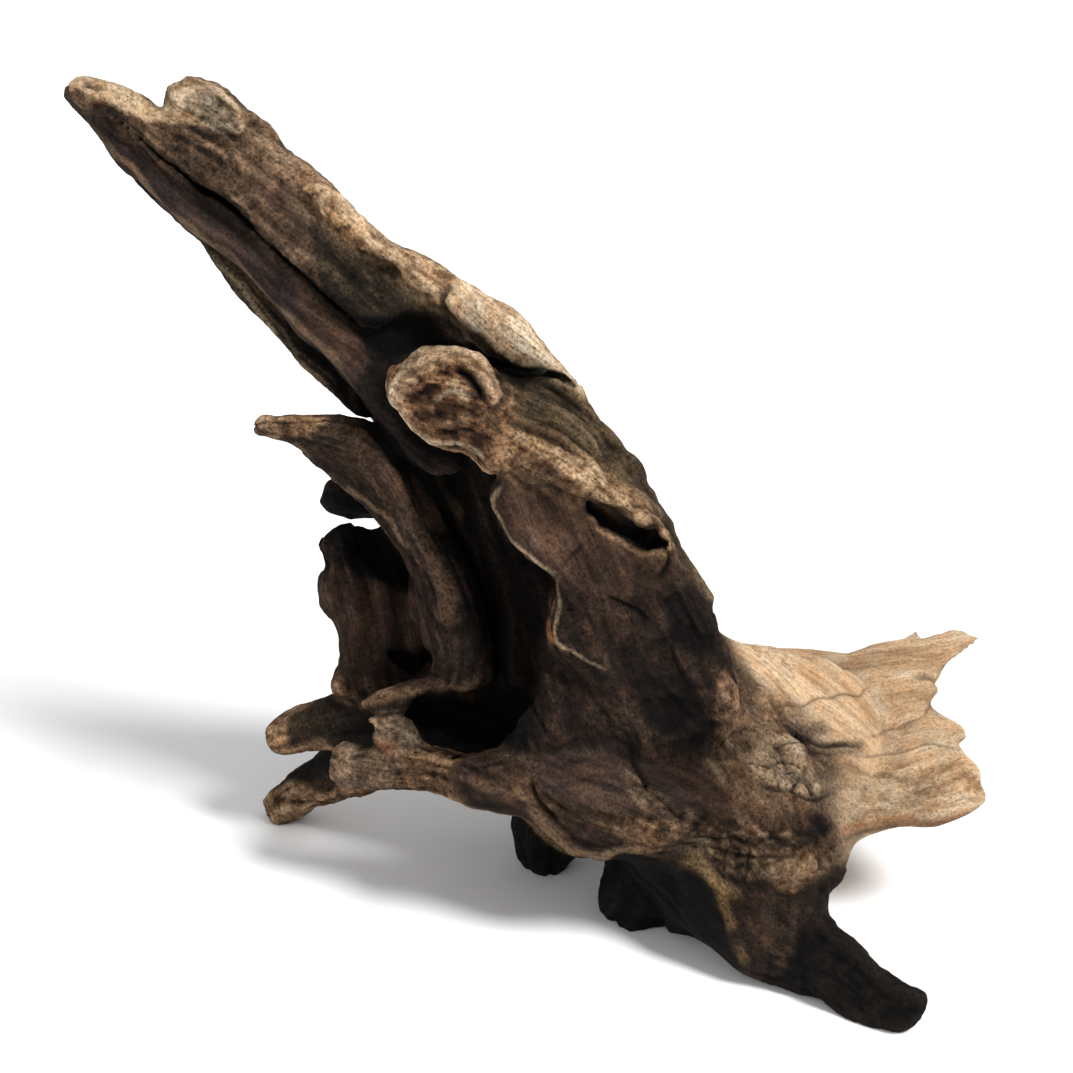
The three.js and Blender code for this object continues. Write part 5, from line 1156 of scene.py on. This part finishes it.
def bulging(value, step, points):
    """Above 0 where the surface bulges and below 0 where it sinks."""
    total = np.zeros(len(points))
    ways = BULGE_AWAY * np.vstack([[-axis, axis] for axis in np.eye(3)])
    for way in ways:
        total += read_grid(value, step, points + way)
    return total / len(ways) / BULGE_AWAY - read_grid(value, step, points) / BULGE_AWAY


def linear(colour):
    """Linear light of a colour given as sRGB bytes."""
    share = np.array(colour, float) / 255
    return np.where(share <= 0.04045, share / 12.92, ((share + 0.055) / 1.055) ** 2.4)


def wood_row(wood):
    """A wood as one row: nine numbers of colour, five heights and its grit."""
    colours = np.concatenate([linear(colour) for colour in wood["tones"]])
    return np.array([*colours, *wood["rise"], wood.get("net", 0), wood.get("grit", 1)])


DARK, MIDDLE, LIGHT = slice(0, 3), slice(3, 6), slice(6, 9)
HEIGHTS = slice(9, 14)
GRIT = 14
wood_rows = {name: wood_row(wood) for name, wood in WOODS.items()}


def billow(pattern):
    """Rounded ridges with furrows between them, out of a chance pattern."""
    return BILLOW["size"] * np.abs(pattern) - BILLOW["sink"]


def thread(pattern, width):
    """1 along the lines where a chance pattern changes sign, and 0 away from them."""
    return np.clip(1 - np.abs(pattern) / width, 0, 1)


def relief(place, points, heights, seed):
    """Height in mm of the grain, and its tone from 0, dark, to 1, light. Heights are a column each for
    flutes, fibres, cracks, pits and nets of cracks."""
    flutes, fibres, cracks, pits, nets = heights.T
    grain = {name: noise(place, lump, seed + own) for name, (lump, own) in GRAIN_PATTERNS.items()}
    lumps = {name: noise(points, lump, seed + own) for name, (lump, own) in ROUND_PATTERNS.items()}
    flute, dent = billow(grain["flute"]), billow(lumps["dent"])
    fibre, fine, lump = grain["fibre"], grain["fine"], lumps["lump"]
    crack = thread(grain["crack"], CRACK_WIDTH) * ramp(grain["crack_run"], *CRACK_FROM)
    net = thread(lumps["net"], NET_WIDTH)
    pit = ramp(lumps["pit"], *PIT_FROM)
    height = (flutes * (flute + dent) + fibres * (fibre + FINE_RISE * fine) - cracks * crack - nets * net
              - pits * (PIT_SINK * pit - LUMP_RISE * lump))
    shades = dict(blotch=lumps["blotch"], flute=flute, dent=dent, fibre=fibre, fine=fine, crack=crack,
                  net=nets * net, lump=pits * lump, pit=pits * pit)
    return height, MIDDLE_TONE + sum(TONES[name] * shade for name, shade in shades.items())


def paint(woods, tone):
    """The colour at a tone between each wood's dark, middle and light."""
    low = np.clip(2 * tone, 0, 1)[:, None]
    high = np.clip(2 * tone - 1, 0, 1)[:, None]
    return woods[:, DARK] * (1 - low) + woods[:, MIDDLE] * low + (woods[:, LIGHT] - woods[:, MIDDLE]) * high


def weigh_forms(where):
    """How much each form has of each point, and the points' places in each form's grain."""
    distance = np.full((len(forms), len(where)), FAR)
    place = np.zeros((len(forms), len(where), 3))
    for n, form in enumerate(forms):
        near = form.near(where)
        if near.any():
            distance[n, near], place[n, near] = form.measure(where[near], with_place=True)
    weight = np.exp(-(distance - distance.min(0)) / FORM_BLEND)
    weight[weight < LEAST_WEIGHT] = 0
    return weight / weight.sum(0), place


def mix_woods(form, areas, rear):
    """A row of wood for each point of a form: its own wood, bark at the rear where that is black or dark, as
    these are painted shade that belongs to the front only, and the patches that cover it."""
    wood = np.tile(wood_rows[form.wood], (len(rear), 1))
    if form.wood in ("black", "dark"):
        wood += rear[:, None] * (wood_rows["bark"] - wood)
    for patch, share in areas:
        if patch.covers(form):
            wood += share[:, None] * (wood_rows[patch.wood] - wood)
    return wood


def draw_strokes(height, colour, weight, pixels, seen):
    """Adds the strokes to the height and the colour, as far as they are seen."""
    for stroke in strokes:
        share = stroke.share(pixels) * seen
        if stroke.on:
            share = share * sum(weight[n] for n, form in enumerate(forms) if form.name in stroke.on)
        height += share * stroke.rise
        share = share[:, None]
        if stroke.light > 0:
            colour += share * stroke.light * (wood_rows[stroke.wood][LIGHT] - colour)
        else:
            colour *= 1 + share * stroke.light


def dress_part(rows):
    """Height, colour, grit and grain of the surface at points, and how sure the grain is. A row is a point,
    its normal, how open it lies and how far it bulges."""
    points, normals, bare, bulge = rows[:, :3], rows[:, 3:6], rows[:, 6], rows[:, 7]
    where = locate(points)
    weight, place = weigh_forms(where)
    shake = np.stack([noise(points, SHAKE_LUMP, seed) for seed in SHAKE_SEEDS], 1)
    pixels = face_to_pixel(where[:, 3:]) + SHAKE * shake
    front = ramp(normals @ VIEWER, *FRONT_FROM)
    rear = ramp(-normals @ VIEWER, *REAR_FROM) * ramp(bare, *OPEN_FROM)
    areas = [(patch, patch.share(pixels) * front) for patch in patches]
    # lighter where the surface bulges, as wear and painted highlight; darker where it sinks, as painted shade
    light = BULGE_TONE * ramp(bulge, *BULGE_FROM) - SINK_SHADE * ramp(-bulge, *SINK_FROM)
    height = np.zeros(len(points))
    grit = np.zeros(len(points))
    colour = np.zeros((len(points), 3))
    for n, form in enumerate(forms):
        some = weight[n] > 0
        if not some.any():
            continue
        wood = mix_woods(form, [(patch, share[some]) for patch, share in areas], rear[some])
        share = weight[n, some]
        rise, tone = relief(place[n, some], points[some], wood[:, HEIGHTS], n)
        height[some] += share * rise
        grit[some] += share * wood[:, GRIT]
        colour[some] += share[:, None] * paint(wood, tone + light[some])
    unbroken = ramp(noise(points, BREAK_LUMP, BREAK_SEED), *BREAK_FROM)
    draw_strokes(height, colour, weight, pixels, front * unbroken)
    main = weight.argmax(0)
    grain = place[main, np.arange(len(points))] + main[:, None] * GRAIN_SHIFT
    ordered = np.sort(weight, axis=0)
    sure = ramp(ordered[-1] - ordered[-2], *SURE_FROM)
    # painted shade: the wood darkens the deeper it lies in a hollow
    shade = SHADE_LEAST + (SHADE_MOST - SHADE_LEAST) * bare**SHADE_POWER
    hue = 1 + noise(points, HUE_LUMP, HUE_SEED)[:, None] * HUE
    colour *= shade[:, None] * WARMTH * hue
    return np.column_stack([height, colour, grit, grain, sure])


def add_object(name, data):
    """A new object in the scene."""
    thing = bpy.data.objects.new(name, data)
    bpy.context.scene.collection.objects.link(thing)
    return thing


def add_layer(mesh, name, kind, field, values):
    """Gives each point of a mesh a value that its material reads."""
    layer = mesh.attributes.new(name, kind, "POINT")
    layer.data.foreach_set(field, values.astype(np.float32).ravel())


def make_piece(fork, quads, points, normals, colour, grain, sure):
    name = fork["name"]
    used, corners = np.unique(quads, return_inverse=True)
    mesh = bpy.data.meshes.new(name)
    mesh.from_pydata((points[used] - STAND) * MM, [], corners.reshape(-1, 4))
    add_layer(mesh, "wood", "FLOAT_COLOR", "color", colour[used])
    add_layer(mesh, "grain", "FLOAT_VECTOR", "vector", grain[used] * MM)
    add_layer(mesh, "sure", "FLOAT", "value", sure[used])
    mesh.polygons.foreach_set("use_smooth", np.ones(len(mesh.polygons), bool))
    mesh.normals_split_custom_set_from_vertices(normals[used].astype(np.float32))
    mesh.materials.append(materials[fork["slot"]])
    piece = add_object(name, mesh)
    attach(piece, "root")
    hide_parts(fork["node"])


def wood_material(name, fibre_gap, fibre_long, grit, fibre_depth, grit_depth, roughness, fibre_light,
                  grit_light):
    """Wood with fine fibres along the grain and fine grit, over the colours that the mesh carries."""
    material = bpy.data.materials.new(name)
    material.use_nodes = True
    nodes, links = material.node_tree.nodes, material.node_tree.links
    nodes.clear()

    def add(kind, **values):
        """A node with values for its sockets or, where it has no such socket, its settings."""
        node = nodes.new("ShaderNode" + kind)
        for key, value in values.items():
            if key in node.inputs:
                node.inputs[key].default_value = value
            else:
                setattr(node, key, value)
        return node

    def join(source, target):
        """Links a socket to another, or sets it to a number."""
        if isinstance(source, (int, float)):
            target.default_value = source
        else:
            links.new(source, target)

    def spread(chance, low, high):
        """Chance values, which keep near their middle, spread from low to high."""
        node = add("MapRange")
        for socket, source in zip(node.inputs, (chance, *NOISE_RANGE, low, high)):
            join(source, socket)
        return node.outputs["Result"]

    def reckon(operation, *sources):
        node = add("Math", operation=operation)
        for socket, source in zip(node.inputs, sources):
            join(source, socket)
        return node.outputs[0]

    def bump(height, depth):
        node = add("Bump", Strength=BUMP, Distance=depth)
        join(height, node.inputs["Height"])
        return node

    colour = add("Attribute", attribute_name="wood")
    grain = add("Attribute", attribute_name="grain")
    sure = add("Attribute", attribute_name="sure")
    place = add("TexCoord")
    stretch = add("Mapping", Scale=(1 / fibre_long, 1 / fibre_gap, 1 / fibre_gap))
    fibres = add("TexNoise", Scale=1.0, Detail=NOISE_DETAIL, Roughness=FIBRE_BREAKS)
    specks = add("TexNoise", Scale=1 / grit, Detail=NOISE_DETAIL, Roughness=GRIT_BREAKS)
    join(grain.outputs["Vector"], stretch.inputs["Vector"])
    join(stretch.outputs["Vector"], fibres.inputs["Vector"])
    join(place.outputs["Object"], specks.inputs["Vector"])

    lines = reckon("MULTIPLY", spread(fibres.outputs["Fac"], -1, 1), sure.outputs["Fac"])
    dots = reckon("MULTIPLY", spread(specks.outputs["Fac"], -1, 1), colour.outputs["Alpha"])
    bright = reckon("MULTIPLY_ADD", dots, grit_light, reckon("MULTIPLY_ADD", lines, fibre_light, 1.0))
    tint = add("VectorMath", operation="SCALE")
    join(colour.outputs["Color"], tint.inputs[0])
    join(bright, tint.inputs["Scale"])
    low = bump(lines, fibre_depth)
    high = bump(dots, grit_depth)
    join(low.outputs["Normal"], high.inputs["Normal"])

    out = add("OutputMaterial")
    surface = add("BsdfPrincipled", IOR=WOOD_IOR)
    surface.inputs["Specular IOR Level"].default_value = WOOD_GLOSS
    join(tint.outputs["Vector"], surface.inputs["Base Color"])
    join(high.outputs["Normal"], surface.inputs["Normal"])
    dull = spread(specks.outputs["Fac"], roughness - ROUGHNESS_SPREAD, roughness + ROUGHNESS_SPREAD)
    join(dull, surface.inputs["Roughness"])
    join(surface.outputs[0], out.inputs["Surface"])
    return material


materials = {name: wood_material(name, **finish) for name, finish in FINISHES.items()}


def make_wood():
    value = close_touches(sample_grid(STEP))
    label = name_pieces(value, STEP)
    used, number = used_cells(label)
    points, outer = cell_points(value, used, STEP)
    skin, pieces = net_quads(label, number)
    normals = vertex_normals(points, skin)
    bare = openness(value, STEP, points, normals)
    rows = np.column_stack([points, normals, bare, bulging(value, STEP, points)])
    dressed = np.zeros((len(points), 9))
    dressed[outer] = in_threads(dress_part, rows[outer])
    height, colour, grain, sure = np.split(dressed, (1, 5, 8), axis=1)
    points = points + normals * height
    points[:, 2] = np.maximum(points[:, 2], 0)
    normals = vertex_normals(points, skin)
    normals[~outer] = (0, 0, 1)
    for n, fork in enumerate(FORKS + [FOOT], 1):
        make_piece(fork, pieces[n], points, normals, colour, grain, sure)


def make_floor():
    mesh = bpy.data.meshes.new("floor")
    corners = [(x * FLOOR_HALF, y * FLOOR_HALF, 0) for x, y in ((-1, -1), (1, -1), (1, 1), (-1, 1))]
    mesh.from_pydata(corners, [], [(0, 1, 2, 3)])
    floor = add_object("floor", mesh)
    white = bpy.data.materials.new("floor_white")
    white.use_nodes = True
    surface = white.node_tree.nodes["Principled BSDF"]
    surface.inputs["Base Color"].default_value = (FLOOR_WHITE, FLOOR_WHITE, FLOOR_WHITE, 1)
    surface.inputs["Roughness"].default_value = FLOOR_ROUGHNESS
    surface.inputs["Specular IOR Level"].default_value = FLOOR_GLOSS
    mesh.materials.append(white)


def make_light(name, toward, power, spread):
    light = bpy.data.lights.new(name, "SUN")
    light.energy = power
    light.angle = spread
    lamp = add_object(name, light)
    lamp.rotation_euler = Vector(toward).to_track_quat("-Z", "Y").to_euler()


def make_sky():
    world = bpy.data.worlds.new("studio")
    world.use_nodes = True
    sky = world.node_tree.nodes["Background"]
    sky.inputs["Color"].default_value = (1, 1, 1, 1)
    sky.inputs["Strength"].default_value = SKY
    bpy.context.scene.world = world


def make_camera():
    """A camera square on to the wood's leaning face."""
    camera = bpy.data.cameras.new("camera")
    camera.sensor_width = SENSOR
    camera.lens = SENSOR * CAMERA_AWAY / (PIXELS / PIXELS_PER_MM)
    holder = add_object("camera", camera)
    middle = np.array([0.0, 0.0, FACE_MIDDLE]) - STAND
    holder.location = (middle + VIEWER * CAMERA_AWAY) * MM
    holder.rotation_euler = (np.pi / 2 - LEAN, 0, 0)
    bpy.context.scene.camera = holder


make_wood()
make_floor()
make_light("key", KEY_TOWARD, KEY_POWER, KEY_SPREAD)
make_light("fill", FILL_TOWARD, FILL_POWER, FILL_SPREAD)
make_sky()
make_camera()
bpy.context.scene.view_settings.view_transform = "Standard"
